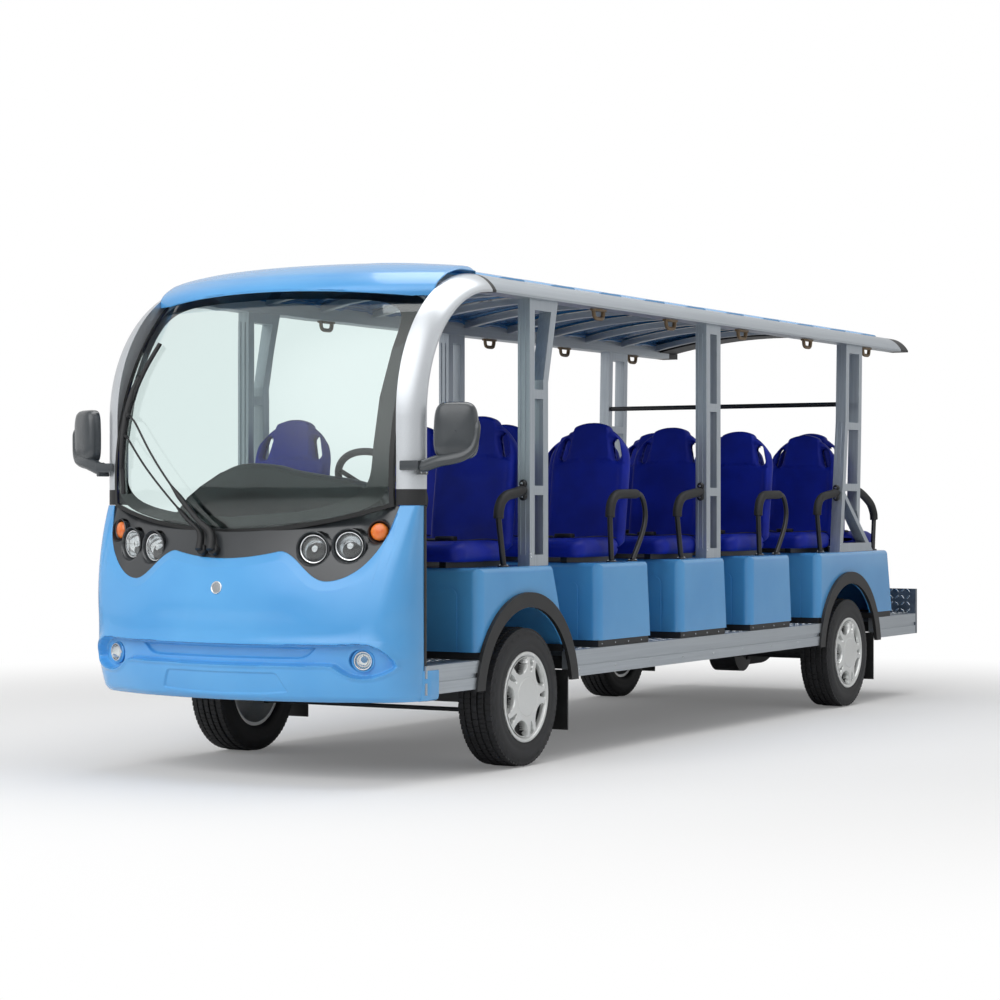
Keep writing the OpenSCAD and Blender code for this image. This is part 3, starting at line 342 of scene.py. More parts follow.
class Shape:
    """Vertices and faces of one piece, gathered in millimetres from the front axle."""

    def __init__(self):
        self.v, self.f, self.m = [], [], []

    def grid(self, rows, mat=0, wrap=False, flip=False):
        """Quads over rows of points; wrap joins the last point of a row to its first."""
        base, n = len(self.v), len(rows[0])
        for row in rows:
            self.v.extend(row)
        for i in range(len(rows) - 1):
            for j in range(n if wrap else n - 1):
                k = (j + 1) % n
                q = [base + i * n + j, base + i * n + k, base + (i + 1) * n + k, base + (i + 1) * n + j]
                self.f.append(q[::-1] if flip else q)
                self.m.append(mat)

    def lathe(self, line, place, n=48, mat=0):
        """Turns (radius, height) points about the place's Z axis."""
        rows = []
        for r, h in line:
            turn = [2 * math.pi * k / n for k in range(n)]
            rows.append([place @ Vector((r * math.cos(a), r * math.sin(a), h)) for a in turn])
        self.grid(rows, mat, True)

    def capped(self, rows, first, last, mat=0):
        """Rings of points, closed to a point at both ends."""
        n = len(rows[0])
        self.grid([[first] * n] + rows + [[last] * n], mat, True)

    def tube(self, path, size, n=14, mat=0, flat=1.0):
        """A round tube along a path, closed at both ends; size is one radius or one for each point."""
        sizes = size if isinstance(size, (list, tuple)) else [size] * len(path)
        rows, up = [], None
        for i, p in enumerate(path):
            d = (path[min(i + 1, len(path) - 1)] - path[max(i - 1, 0)]).normalized()
            if up is None:
                up = d.orthogonal().normalized()
            up = (up - d * up.dot(d)).normalized()
            side = d.cross(up)
            rows.append([p + (up * math.cos(a) + side * math.sin(a) * flat) * sizes[i]
                         for a in (2 * math.pi * k / n for k in range(n))])
        self.capped(rows, path[0], path[-1], mat)

    def copy(self, other, place, mat=0):
        """Another shape's faces, moved to a place."""
        base = len(self.v)
        turned = place.determinant() < 0
        self.v.extend(place @ p for p in other.v)
        for q, m in zip(other.f, other.m):
            q = [base + k for k in q]
            self.f.append(q[::-1] if turned else q)
            self.m.append(m + mat)

    def piece(self, name, mats, body="chassis", instead=(), angle=35, merge=0.02, outward=True):
        """The finished object in the shared frame, riding on its body."""
        mesh = bpy.data.meshes.new(name)
        mesh.from_pydata([mm(*p) for p in self.v], [], self.f)
        for m in mats:
            mesh.materials.append(m)
        mesh.polygons.foreach_set("material_index", self.m)
        b = bmesh.new()
        b.from_mesh(mesh)
        bmesh.ops.remove_doubles(b, verts=b.verts, dist=merge / 1000)
        bmesh.ops.dissolve_degenerate(b, edges=b.edges, dist=1e-6)
        if outward:
            bmesh.ops.recalc_face_normals(b, faces=b.faces)
        b.to_mesh(mesh)
        b.free()
        mesh.polygons.foreach_set("use_smooth", [True] * len(mesh.polygons))
        mesh.set_sharp_from_angle(angle=math.radians(angle))
        return show(name, mesh, body, instead)


def show(name, mesh, body, instead=()):
    """Links a finished mesh and makes it ride."""
    o = bpy.data.objects.new(name, mesh)
    bpy.context.collection.objects.link(o)
    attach(o, body)
    if instead:
        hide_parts(*instead)
    return o


def walled(o, thickness, inner=0):
    """Gives a skin a wall in mm behind it; its inner face lies that many material slots on."""
    wall = o.modifiers.new("wall", "SOLIDIFY")
    wall.thickness = thickness / 1000
    wall.offset = -1
    wall.material_offset = inner


FLIP = Matrix.Scale(-1, 4, Vector((1, 0, 0)))
SQUARE = [(-1, -1), (1, -1), (1, 1), (-1, 1)]


def cut_square(x, y):
    """The same square with its corners cut off at x along one side and y along the other."""
    return [(-1, -y), (-x, -1), (x, -1), (1, -y), (1, y), (x, 1), (-x, 1), (-1, y)]


def placed(x, y, z, turn=0.0, axis="X"):
    """A place, turned by degrees about one axis."""
    return Matrix.Translation(Vector((x, y, z))) @ Matrix.Rotation(math.radians(turn), 4, axis)


def spread(a, b, n):
    """n even steps from a, stopping short of b."""
    return [a + (b - a) * i / n for i in range(n)]


def step(a, b, x):
    """Smooth rise from 0 at a to 1 at b."""
    t = min(1.0, max(0.0, (x - a) / (b - a)))
    return t * t * (3 - 2 * t)


def smooth_path(points, n=8):
    """Catmull-Rom points through a path."""
    pts = [Vector(p) for p in points]
    out = []
    for i in range(len(pts) - 1):
        p0, p1, p2, p3 = pts[max(i - 1, 0)], pts[i], pts[i + 1], pts[min(i + 2, len(pts) - 1)]
        for k in range(n):
            t = k / n
            out.append(0.5 * (2 * p1 + (p2 - p0) * t + (2 * p0 - 5 * p1 + 4 * p2 - p3) * t * t
                              + (3 * p1 - p0 - 3 * p2 + p3) * t ** 3))
    out.append(pts[-1])
    return out


def inside(poly, x, z):
    """True where a point lies inside a closed outline."""
    hit = False
    for (x1, z1), (x2, z2) in zip(poly, poly[1:] + poly[:1]):
        if (z1 > z) != (z2 > z) and x < (x2 - x1) * (z - z1) / (z2 - z1) + x1:
            hit = not hit
    return hit


def edge_distance(poly, x, z):
    """Distance to a closed outline, positive inside."""
    best = 1e9
    for (x1, z1), (x2, z2) in zip(poly, poly[1:] + poly[:1]):
        dx, dz = x2 - x1, z2 - z1
        t = max(0.0, min(1.0, ((x - x1) * dx + (z - z1) * dz) / (dx * dx + dz * dz + 1e-9)))
        best = min(best, math.hypot(x - x1 - t * dx, z - z1 - t * dz))
    return best if inside(poly, x, z) else -best


# moulded nose: the same turned surface as the solid

# upright axis, and the nose's radius between its lower and upper arc
NOSE_AXIS, NOSE_R = 550.0, 1650.0
NOSE_LOW, NOSE_FULL = 520, 600
NOSE_LOWER_ARC, NOSE_UPPER_ARC = 488, 745
# the upper corners are fuller: rise to the pillar feet, and how far they draw in there
CORNER_RISE, CORNER_IN = 440, 89
PILLAR_FOOT = 1049.0

# windscreen: arc in side view, then half width, lower and upper edge and how far those edges bend
GLASS_AXIS, GLASS_Z, GLASS_ARC = 552, 1143, 1014
GLASS_HALF, GLASS_LOW, GLASS_TOP, BEND_LOW, BEND_TOP = 638.0, 959, 1893, 97, 31

# lower edge of the lamp mask: middle height, then reach and height of its crest, dip and end
MASK_MIDDLE, MASK_CREST, MASK_DIP, MASK_END = 849, (243, 877), (446, 766), (671, 1050)
MASK_ROUND = 1.9


def nose_radius(z):
    """Radius about the upright axis: an arc above, a straight band, an arc below."""
    if z >= NOSE_FULL:
        return NOSE_R - NOSE_UPPER_ARC + math.sqrt(NOSE_UPPER_ARC ** 2 - (z - NOSE_FULL) ** 2)
    if z >= NOSE_LOW:
        return NOSE_R
    return NOSE_R - NOSE_LOWER_ARC + math.sqrt(NOSE_LOWER_ARC ** 2 - (NOSE_LOW - z) ** 2)


def glass_radius(z):
    return GLASS_AXIS + math.sqrt(GLASS_ARC ** 2 - (z - GLASS_Z) ** 2)


def nose_side(x, z):
    """Nose radius with the upper corners kept full, so that they wrap the pillar feet."""
    r = nose_radius(z)
    if z > NOSE_FULL:
        full = NOSE_R - CORNER_IN * ((z - NOSE_FULL) / CORNER_RISE) ** 2
        r += step(520, 660, abs(x)) * (full - r)
    return r


def on_nose(x, z, depth=0.0):
    r = nose_side(x, z) - depth
    return Vector((x, NOSE_AXIS - math.sqrt(r * r - x * x), z))


def on_glass(x, z, off=0.0):
    r = glass_radius(z) + off
    return Vector((x, NOSE_AXIS - math.sqrt(r * r - x * x), z))


def bend(x, depth):
    """How far a glass edge that bends by a depth at its ends has moved at x."""
    r = (GLASS_HALF ** 2 + depth ** 2) / (2 * depth)
    return r - math.sqrt(r * r - x * x)


def mask_low(x):
    """Lower edge of the mask: a crest beside the middle, a dip under the lamps, then an ellipse up."""
    u = abs(x)
    if u < MASK_CREST[0]:
        return MASK_MIDDLE + (MASK_CREST[1] - MASK_MIDDLE) * (u / MASK_CREST[0]) ** 2
    if u < MASK_DIP[0]:
        turn = math.pi * (u - MASK_CREST[0]) / (MASK_DIP[0] - MASK_CREST[0])
        return MASK_CREST[1] - (MASK_CREST[1] - MASK_DIP[1]) * (1 - math.cos(turn)) / 2
    out = min(1.0, (u - MASK_DIP[0]) / (MASK_END[0] - MASK_DIP[0]))
    up = 1 - (1 - out ** MASK_ROUND) ** (1 / MASK_ROUND)
    return MASK_DIP[1] + (MASK_END[1] - MASK_DIP[1]) * up


def mirrored(half):
    """A closed outline from the points of its right half, top middle to bottom middle."""
    return half + [(-x, z) for x, z in reversed(half) if x > 0]


# recess that runs from eye to eye, the deeper slot in it and the number plate panel
EYES = mirrored([(0, 529), (160, 529), (326, 530), (496, 532), (570, 536), (610, 533), (646, 518),
                 (672, 497), (690, 472), (696, 452), (686, 438), (656, 421), (620, 409), (584, 405),
                 (552, 409), (525, 419), (502, 434), (478, 450), (440, 453), (323, 451), (160, 449),
                 (0, 448)])
INNER = mirrored([(0, 519), (413, 520), (384, 490), (362, 478), (330, 473), (0, 472)])
PLATE = mirrored([(0, 423), (244, 424), (258, 418), (268, 400), (292, 352), (278, 346), (150, 339), (0, 336)])

# lamps: place, and turn about the upright in degrees
HEADLAMPS = [(374, -996, 886, 14), (510, -958, 897, 19)]
SIGNAL = (608, -898, 950, 26)
FOG = (576, -960, 472, 18)
# bowls pressed into the mask round the lamps: place across and up, radius
BOWLS = [(374, 886, 66), (510, 897, 66), (606, 950, 46)]

# depths of the relief: middle of the nose, recess, slot, ridges above and below the recess, fog bowl, plate
MIDDLE_IN, RECESS_IN, INNER_IN, RIDGE_HIGH, RIDGE_LOW, FOG_IN, PLATE_IN = 8, 34, 14, 8, 5, 18, 6
# flat bevel along the mask, depth of the mask behind the cowl and of its bowls
BEVEL_IN, BEVEL_WIDE, MASK_IN, BOWL_IN = 8, 34, 9, 34


def cowl_depth(x, z):
    """How far the skin is pressed in at a point of the nose."""
    d = MIDDLE_IN * step(720, 600, z) * step(480, 260, abs(x))
    if 380 < z < 580 and abs(x) < 725:
        e = edge_distance(EYES, x, z)
        high = step(455, 500, z)
        d += RECESS_IN * (step(0, 6, e) * high + step(0, 11, e) * (1 - high))
        d += INNER_IN * step(0, 7, edge_distance(INNER, x, z))
        if e < 0:
            d -= RIDGE_HIGH * high * step(34, 2, -e) + RIDGE_LOW * (1 - high) * step(16, 2, -e)
        d += FOG_IN * step(43, 35, math.hypot(abs(x) - FOG[0], z - FOG[2]))
    if 325 < z < 432 and abs(x) < 310:
        d += PLATE_IN * step(0, 6, edge_distance(PLATE, x, z))
    lean = math.hypot(1, (mask_low(abs(x) + 2) - mask_low(abs(x) - 2)) / 4)
    run = (mask_low(x) - z) / lean
    if abs(x) < MASK_END[0] - 3 and run < BEVEL_WIDE:
        d += BEVEL_IN * (1 - max(0.0, run) / BEVEL_WIDE)
    return d


# columns of the skin: count and reach across the nose, closer where the relief is; then corner and side
ACROSS = [(0, 0), (20, 230), (44, 300), (52, 360), (68, 420), (76, 480), (132, 622)]
FRONT, CORNER, SIDE = 132, 40, 4
# lower edge, half width and back of the cowl, and its corner radius below and at the pillar feet
COWL_LOW, COWL_HALF, COWL_BACK, CORNER_LOW, CORNER_TOP = 311.5, 734.0, -785.0, 180, 40


def across(k):
    for (a, u), (b, v) in zip(ACROSS, ACROSS[1:]):
        if k <= b:
            return u + (v - u) * (k - a) / (b - a)


def cowl_point(k, z):
    """Point k across the nose at a height: front arc from the middle, round corner, straight side."""
    up = min(1.0, max(0.0, (z - NOSE_FULL) / CORNER_RISE))
    rc = CORNER_LOW - (CORNER_LOW - CORNER_TOP) * up
    r = nose_side(700, z)
    cx = COWL_HALF - rc
    cy = NOSE_AXIS - math.sqrt((r - rc) ** 2 - cx * cx)
    if k <= FRONT:
        return on_nose(cx * r / (r - rc) * across(k) / across(FRONT), z)
    a0 = math.atan2(cx, NOSE_AXIS - cy)
    a1 = math.acos(min(1.0, max(0.0, (cy - COWL_BACK) / rc)))
    a = a0 + (a1 - a0) * min(1.0, (k - FRONT) / CORNER)
    p = Vector((cx + rc * math.sin(a), cy - rc * math.cos(a), z))
    if k > FRONT + CORNER:
        p.y += (COWL_BACK - p.y) * (k - FRONT - CORNER) / SIDE
    return p


def cowl_top(k):
    """Where a column of the skin ends: at the mask, or under the pillar foot."""
    low, high = 740.0, PILLAR_FOOT
    if mask_low(cowl_point(k, high).x) > high:
        return high
    for _ in range(24):
        z = (low + high) / 2
        if z < mask_low(cowl_point(k, z).x):
            low = z
        else:
            high = z
    return low


def front_cowl():
    """Cowl skin: columns run from the bottom edge up to the mask or the pillar foot."""
    relief_low, relief_high, bevel, edge_roll = 330, 548, 46, 14
    half = []
    for k in range(FRONT + CORNER + SIDE + 1):
        top = cowl_top(k)
        low = COWL_LOW + 4 * (cowl_point(k, NOSE_FULL).x / 730) ** 2
        heights = spread(low, relief_low, 8) + spread(relief_low, relief_high, 84)
        heights += spread(relief_high, top - bevel, 14) + spread(top - bevel, top, 13) + [top]
        col = []
        for z in heights:
            p = cowl_point(k, z)
            out = Vector((p.x, p.y - NOSE_AXIS, 0)).normalized()
            roll = edge_roll * max(0.0, 1 - (z - low) / 24) ** 2
            col.append(p - out * (roll + cowl_depth(p.x, z)))
        half.append(col)
    s = Shape()
    s.grid([[Vector((-p.x, p.y, p.z)) for p in col] for col in half[:0:-1]] + half)
    walled(s.piece("front_cowl_skin", [sky_gelcoat], instead=("front_cowl",), angle=60), 4)


def lamp_place(p, side):
    """Frame of a lamp: Z points out of the nose."""
    m = placed(*p, "Z") @ placed(0, 0, 0, 90)
    return FLIP @ m if side < 0 else m


def mask_depth(x, z):
    """Bowls pressed into the mask round the lamps."""
    return max(BOWL_IN * step(r, r - 9, math.hypot(abs(x) - cx, z - cz)) for cx, cz, r in BOWLS)


def lamp_mask():
    """Mask skin between the cowl's bevel and the glass, lapped behind both."""
    n, m, lap_low, lap_high = 150, 70, 8, 10
    rows = []
    for i in range(-n, n + 1):
        x = MASK_END[0] * i / n
        low = min(mask_low(x) - lap_low, 1030)
        high = min(GLASS_LOW - lap_high + bend(min(abs(x), GLASS_HALF - 1), BEND_LOW), PILLAR_FOOT)
        heights = spread(low, high, m) + [high]
        rows.append([on_nose(x, z, MASK_IN + mask_depth(x, z)) for z in heights])
    s = Shape()
    s.grid(rows)
    walled(s.piece("lamp_mask_skin", [mask_grey], instead=("lamp_mask",), angle=60), 3)


def lamps():
    """Headlamps, signals and fog lamps: bezel, tunnel, reflector, bulb shade and lens."""
    head, clear, amber, fog, fog_lens = Shape(), Shape(), Shape(), Shape(), Shape()
    for side in (1, -1):
        for p in HEADLAMPS:
            m = lamp_place(p, side)
            head.lathe([(66, -6), (67, -2), (64.5, 1), (62, -1), (60, -6), (56, -30)], m, 56, 1)
            head.lathe([(56, -30), (55, -14), (53, -11), (50, -12), (48.5, -15)], m, 56, 0)
            head.lathe([(48.5, -15), (46, -24), (39, -38), (28, -48), (15, -54), (0.5, -55)], m, 56, 0)
            head.lathe([(0.5, -20), (11, -22), (13, -27), (11, -40), (10, -54)], m, 32, 0)
            clear.lathe([(49.5, -14), (45, -7), (36, -2), (24, 1.5), (10, 3), (0.5, 3.2)], m, 48, 0)
            clear.lathe([(0.5, 0.2), (10, 0), (24, -1.5), (36, -5), (45, -10), (49.5, -14)], m, 48, 0)
        m = lamp_place(SIGNAL, side)
        head.lathe([(45, -4), (46, -1), (44, 2), (41, 0), (39, -5), (37, -26)], m, 48, 1)
        amber.lathe([(34, -26), (33.5, -4), (31, 2), (25, 6), (15, 9), (0.5, 10)], m, 48, 0)
        m = lamp_place(FOG, side)
        fog.lathe([(44, -8), (44, -2), (41, 1), (38, -1), (36, -8)], m, 48, 1)
        fog.lathe([(36, -20), (36, 1), (34, 5), (31, 5), (29, 1)], m, 48, 0)
        fog.lathe([(29, 1), (26, -10), (18, -18), (8, -22), (0.5, -23)], m, 48, 0)
        fog_lens.lathe([(30, 2), (26, 6), (18, 9), (8, 10.5), (0.5, 11)], m, 40, 0)
        fog_lens.lathe([(0.5, 8), (8, 7.5), (18, 6), (26, 3), (30, 2)], m, 40, 0)
    head.piece("headlamp_units", [reflector, mask_grey], instead=("headlamps",), outward=False)
    clear.piece("headlamp_lenses", [lens_clear])
    amber.piece("signal_lenses", [amber_lens], instead=("turn_signals",))
    fog.piece("fog_lamp_units", [reflector, sky_gelcoat], instead=("fog_lamps",), outward=False)
    fog_lens.piece("fog_lamp_lenses", [lens_clear])


def badge():
    """Plain bare disc on the nose."""
    s = Shape()
    up = 138
    p = on_nose(0, NOSE_FULL + up)
    tilt = math.degrees(math.atan2(up, math.sqrt(NOSE_UPPER_ARC ** 2 - up ** 2)))
    m = placed(p.x, p.y, p.z, 90 - tilt)
    s.lathe([(25, -3), (25, 3), (24, 5), (22, 5.5), (20.5, 4.5), (20, 2.6)], m, 48)
    s.lathe([(20, 2.6), (12, 3.4), (0.5, 3.7)], m, 48, 1)
    s.piece("nose_disc", [reflector, bright_steel])


# glass border: printed black band inside the screen

def border_loop(inset_side, inset_top, inset_low, corner, n=160):
    """Points round the glass, moved in from its edge, with round corners."""
    half = GLASS_HALF - 1 - inset_side
    square = 2.0 / (2.0 + 10.0 * (1 - corner))
    pts = []
    for k in range(n):
        a = 2 * math.pi * k / n
        c, t = math.cos(a), math.sin(a)
        x = half * math.copysign(abs(c) ** square, c)
        low = GLASS_LOW + inset_low + bend(x, BEND_LOW)
        top = GLASS_TOP - inset_top - bend(x, BEND_TOP)
        w = math.copysign(abs(t) ** square, t)
        pts.append((x, (low + top) / 2 + w * (top - low) / 2))
    return pts


def glass_border():
    behind, bands = -8.6, 8
    outer, inner = border_loop(1, 2, 2, 0.0), border_loop(62, 42, 46, 0.28)
    rows = []
    for k in range(bands + 1):
        t = k / bands
        mid = [(a[0] + (b[0] - a[0]) * t, a[1] + (b[1] - a[1]) * t) for a, b in zip(outer, inner)]
        rows.append([on_glass(x, z, behind) for x, z in mid])
    s = Shape()
    s.grid(rows, 0, True)
    s.piece("glass_border", [border_ink], outward=False)


# seats

SEAT_Z, CUSHION_D, CUSHION_T, SEAT_W, PITCH = 826.0, 398.0, 84.0, 404.0, 457.0
CUSHION_CORNER = 58.0
# seat back: height, radius of its top and half width, radius of its lower corners, half thickness
BACK_H, BACK_R, BACK_FOOT, BACK_MID = 560.0, 190.0, 50, 31
# hand slots: place from the middle and below the top, radius, half length, tilt in degrees
SLOT_X, SLOT_DROP, SLOT_R, SLOT_HALF, SLOT_TILT = 129, 124, 17, 33, 14
# rows: name, front edge of the cushions, seats across, 1 facing ahead or -1 facing back
ROWS = [("front", -400, (-1, 1), 1), ("second", 601, (-1, 0, 1), 1), ("third", 1403, (-1, 0, 1), 1),
        ("fourth", 2168, (-1, 0, 1), 1), ("fifth", 3010, (-1, 0, 1), 1), ("rear", 4025, (-1, 0, 1), -1)]


def round_edge(d, r):
    """0 at an outline, 1 at a distance r inside it, along a quarter circle."""
    t = 1 - min(1.0, max(0.0, d / r))
    return math.sqrt(max(0.0, 1 - t * t))


def hill(x, middle, width):
    """A bell curve of height 1."""
    return math.exp(-((x - middle) / width) ** 2)


def cushion_shape():
    """Crowned cushion with a sewn line round its top and raised sides."""
    n, half, c = 42, SEAT_W / 2 - 1, CUSHION_CORNER
    mid_z, mid_y = SEAT_Z + 40, CUSHION_D / 2
    top, low = [], []
    for i in range(n + 1):
        x = half * math.sin((-1 + 2 * i / n) * math.pi / 2)
        qx = max(0.0, abs(x) - half + c)
        y0 = c - math.sqrt(max(0.0, c * c - qx ** 2))
        row_t, row_l = [], []
        for j in range(n + 1):
            y = y0 + (CUSHION_D - 2 * y0 - 1) * (0.5 - 0.5 * math.cos(math.pi * j / n))
            qy = max(0.0, abs(y - mid_y) - mid_y + c)
            # distance in from the outline
            d = c - math.hypot(qx, qy) if qx > 0 and qy > 0 else min(half - abs(x), y, CUSHION_D - y)
            g = round_edge(d, 34)
            crown = 5 * (1 - (x / half) ** 2) * math.sin(math.pi * min(1, max(0, y / CUSHION_D)))
            sides = 5 * step(120, 165, abs(x)) * step(0, 60, d)
            dish = -7 * hill(x, 0, 95) * hill(y, 215, 110)
            seam = -4.5 * hill(d, 40, 3.2) * step(0, 20, d)
            roll = -12 * step(90, 0, y) * g
            row_t.append(Vector((x, y, mid_z + 38 * g + (crown + sides + dish + roll) * g + seam)))
            row_l.append(Vector((x, y, mid_z - 39.5 * round_edge(d, 20))))
        top.append(row_t)
        low.append(row_l)
    s = Shape()
    s.grid(top)
    s.grid(low, flip=True)
    return s


def back_top(x):
    """Top edge of a seat back: a round sweep, with the head panel standing above the shoulders."""
    sweep = BACK_H - BACK_R + math.sqrt(max(0.0, BACK_R ** 2 - x * x))
    return sweep - 11 * step(82, 92, abs(x)) * step(185, 150, abs(x))


def back_low(x):
    """Lower edge of a seat back, with round corners."""
    return BACK_FOOT - math.sqrt(max(0.0, BACK_FOOT ** 2 - max(0.0, abs(x) - BACK_R + BACK_FOOT) ** 2))


def slot_place(x, z):
    """Distance outside a hand slot: below 0 inside."""
    dx, dz = abs(x) - SLOT_X, z - (BACK_H - SLOT_DROP)
    a = math.radians(SLOT_TILT)
    p, q = dx * math.cos(a) + dz * math.sin(a), -dx * math.sin(a) + dz * math.cos(a)
    return math.hypot(p, max(0.0, abs(q) - SLOT_HALF)) - SLOT_R


def back_edge(x, z):
    """Distance in from the outline of a seat back."""
    side = BACK_R - abs(x)
    if z > BACK_H - BACK_R:
        side = BACK_R - math.hypot(x, z - BACK_H + BACK_R)
    return max(0.0, min(side, z - back_low(x), back_top(x) - z))


def back_faces(x, z):
    """Front and rear face of a seat back at a point: rolled edges, head panel, seam, dish and rims."""
    d = min(back_edge(x, z), max(0.0, slot_place(x, z)) * 1.6)
    g = round_edge(d, 26)
    flare = 86 + 14 * step(540, 392, z)
    head = 13 * step(flare, flare - 6, abs(x)) * step(386, 394, z)
    seam_z = 372 + 16 * (1 - (x / 175) ** 2)
    seam = 5 * hill(z, seam_z, 3.0) * step(4, 24, d)
    dish = 12 * hill(x, 0, 110) * step(20, 120, z) * step(384, 300, z)
    rim = 6 * step(138, 170, abs(x)) * step(60, 140, z) * step(400, 330, z)
    front = BACK_MID - 27 * g + (dish + seam - head - rim) * g
    return Vector((x, max(0.5, front), z)), Vector((x, BACK_MID + 30 * g, z))


def slot_rim(x, z):
    """A point just inside a hand slot, moved out to its rim."""
    cx, cz = math.copysign(SLOT_X, x), BACK_H - SLOT_DROP
    for _ in range(12):
        if slot_place(x, z) >= -0.1:
            break
        x, z = x + (x - cx) * 0.06, z + (z - cz) * 0.03
    return x, z


def back_shape():
    """Seat back: shell with rolled edges, raised head panel, open hand slots and a curved seam."""
    s = Shape()
    nx, nz, rim = 72, 84, 9
    front, back, gone = [], [], set()
    for i in range(nx + 1):
        u = -1 + 2 * i / nx
        across_x = BACK_R * (0.55 * u + 0.45 * math.sin(u * math.pi / 2))
        low, top = back_low(across_x), back_top(across_x)
        rows = []
        for j in range(nz + 1):
            v = 0.75 * j / nz + 0.25 * (0.5 - 0.5 * math.cos(math.pi * j / nz))
            x, z = across_x, low + (top - low) * v
            inward = slot_place(x, z)
            if inward < 0:
                gone.add((i, j))
            if -rim < inward < 0:
                x, z = slot_rim(x, z)
            rows.append(back_faces(x, z))
        front.append([f for f, _ in rows])
        back.append([b for _, b in rows])
    for rows, flip in ((front, True), (back, False)):
        base, n = len(s.v), nz + 1
        for row in rows:
            s.v.extend(row)
        for i in range(nx):
            for j in range(nz):
                corners = [(i, j), (i, j + 1), (i + 1, j + 1), (i + 1, j)]
                if all(k in gone for k in corners):
                    continue
                q = [base + a * n + b for a, b in corners]
                s.f.append(q[::-1] if flip else q)
                s.m.append(0)
    return s


def seat_place(x, front, way):
    """Frame of a seat: Y runs back from the cushion's front edge."""
    m = Matrix.Translation(Vector((x, front, 0)))
    return m @ Matrix.Scale(-1, 4, Vector((0, 1, 0))) if way < 0 else m


def back_place(way):
    """Where a back stands on its seat: leaning, except on the seats that face back."""
    return placed(0, CUSHION_D + 0.3, SEAT_Z + 40, -9 if way > 0 else 0)


def belt_shape(side):
    """Lap belt lying on a cushion: webbing from the gap at the back, and its tongue or buckle."""
    s = Shape()
    top, wide, thick = SEAT_Z + CUSHION_T, 23.0, 1.3
    path = smooth_path([(side * 172, 372, top - 6), (side * 140, 330, top + 1), (side * 92, 268, top - 2),
                        (side * 40, 235, top - 3), (side * 6, 226, top - 3)], 6)
    up = Vector((0, 0, 1))
    rows = []
    for i, p in enumerate(path):
        d = path[min(i + 1, len(path) - 1)] - path[max(i - 1, 0)]
        over = Vector((-d.y, d.x, 0)).normalized()
        rows.append([p + over * a * wide + up * (b * thick + 2) for a, b in SQUARE])
    s.capped(rows, path[0], path[-1])
    p = path[-1]
    end = placed(p.x, p.y, p.z + 8, 90 + side * 8, "Z")
    if side > 0:
        # buckle: half width and height of each ring, then its red button
        rings = ((24, -9), (26, -6), (26, 6), (22, 10))
        body = [[end @ Vector((u * half, v * (half + 14), h)) for u, v in cut_square(0.8, 0.8)]
                for half, h in rings]
        s.capped(body, end @ Vector((0, 0, -9)), end @ Vector((0, 0, 10)), 1)
        s.grid([[end @ Vector((a * 11, b * 6 - 26, 10.6)) for a, b in SQUARE],
                [end @ Vector((0, -26, 11.4))] * 4], 2, True)
    else:
        s.grid([[end @ Vector((a * 16, b * 30, h)) for a, b in SQUARE] for h in (-5, -2)], 3, True)
    return s


def seats():
    cushion, back = cushion_shape(), back_shape()
    belts = [belt_shape(1), belt_shape(-1)]
    for name, front, seat_numbers, way in ROWS:
        pads, backs, straps = Shape(), Shape(), Shape()
        for k in seat_numbers:
            place = seat_place(k * PITCH, front, way)
            pads.copy(cushion, place)
            backs.copy(back, place @ back_place(way))
            for b in belts:
                straps.copy(b, place)
        pad = pads.piece(name + "_row_cushions", [seat_vinyl], instead=("seat_cushions",), angle=70)
        rest = backs.piece(name + "_row_backs", [seat_vinyl], instead=("seat_backs",), angle=70, merge=0.3)
        straps.piece(name + "_row_belts", [webbing, black_abs, red_lens, bright_steel])


# what repeats, grown by Geometry Nodes

def new_tree(name, inputs):
    """A geometry tree with named inputs, as (name, kind, value), and a material, and its input node."""
    t = bpy.data.node_groups.new(name, "GeometryNodeTree")
    for key, kind, value in inputs:
        t.interface.new_socket(key, in_out="INPUT", socket_type="NodeSocket" + kind).default_value = value
    t.interface.new_socket("Material", in_out="INPUT", socket_type="NodeSocketMaterial")
    t.interface.new_socket("Geometry", in_out="OUTPUT", socket_type="NodeSocketGeometry")
    return t, add(t, "NodeGroupInput")


def set_out(t, i, points, copied, rotation, move=None):
    """Ends a tree: copies set on points and made real, moved if asked, in the input's material."""
    links = [("Points", points, "Mesh"), ("Instance", copied, 0), rotation]
    done = add(t, "GeometryNodeInstanceOnPoints", links)
    done = add(t, "GeometryNodeRealizeInstances", [("Geometry", done, 0)])
    if move:
        done = add(t, "GeometryNodeTransform", [("Geometry", done, 0), move])
    done = add(t, "GeometryNodeSetMaterial", [("Geometry", done, 0), ("Material", i, "Material")])
    add(t, "NodeGroupOutput", [("Geometry", done, 0)])


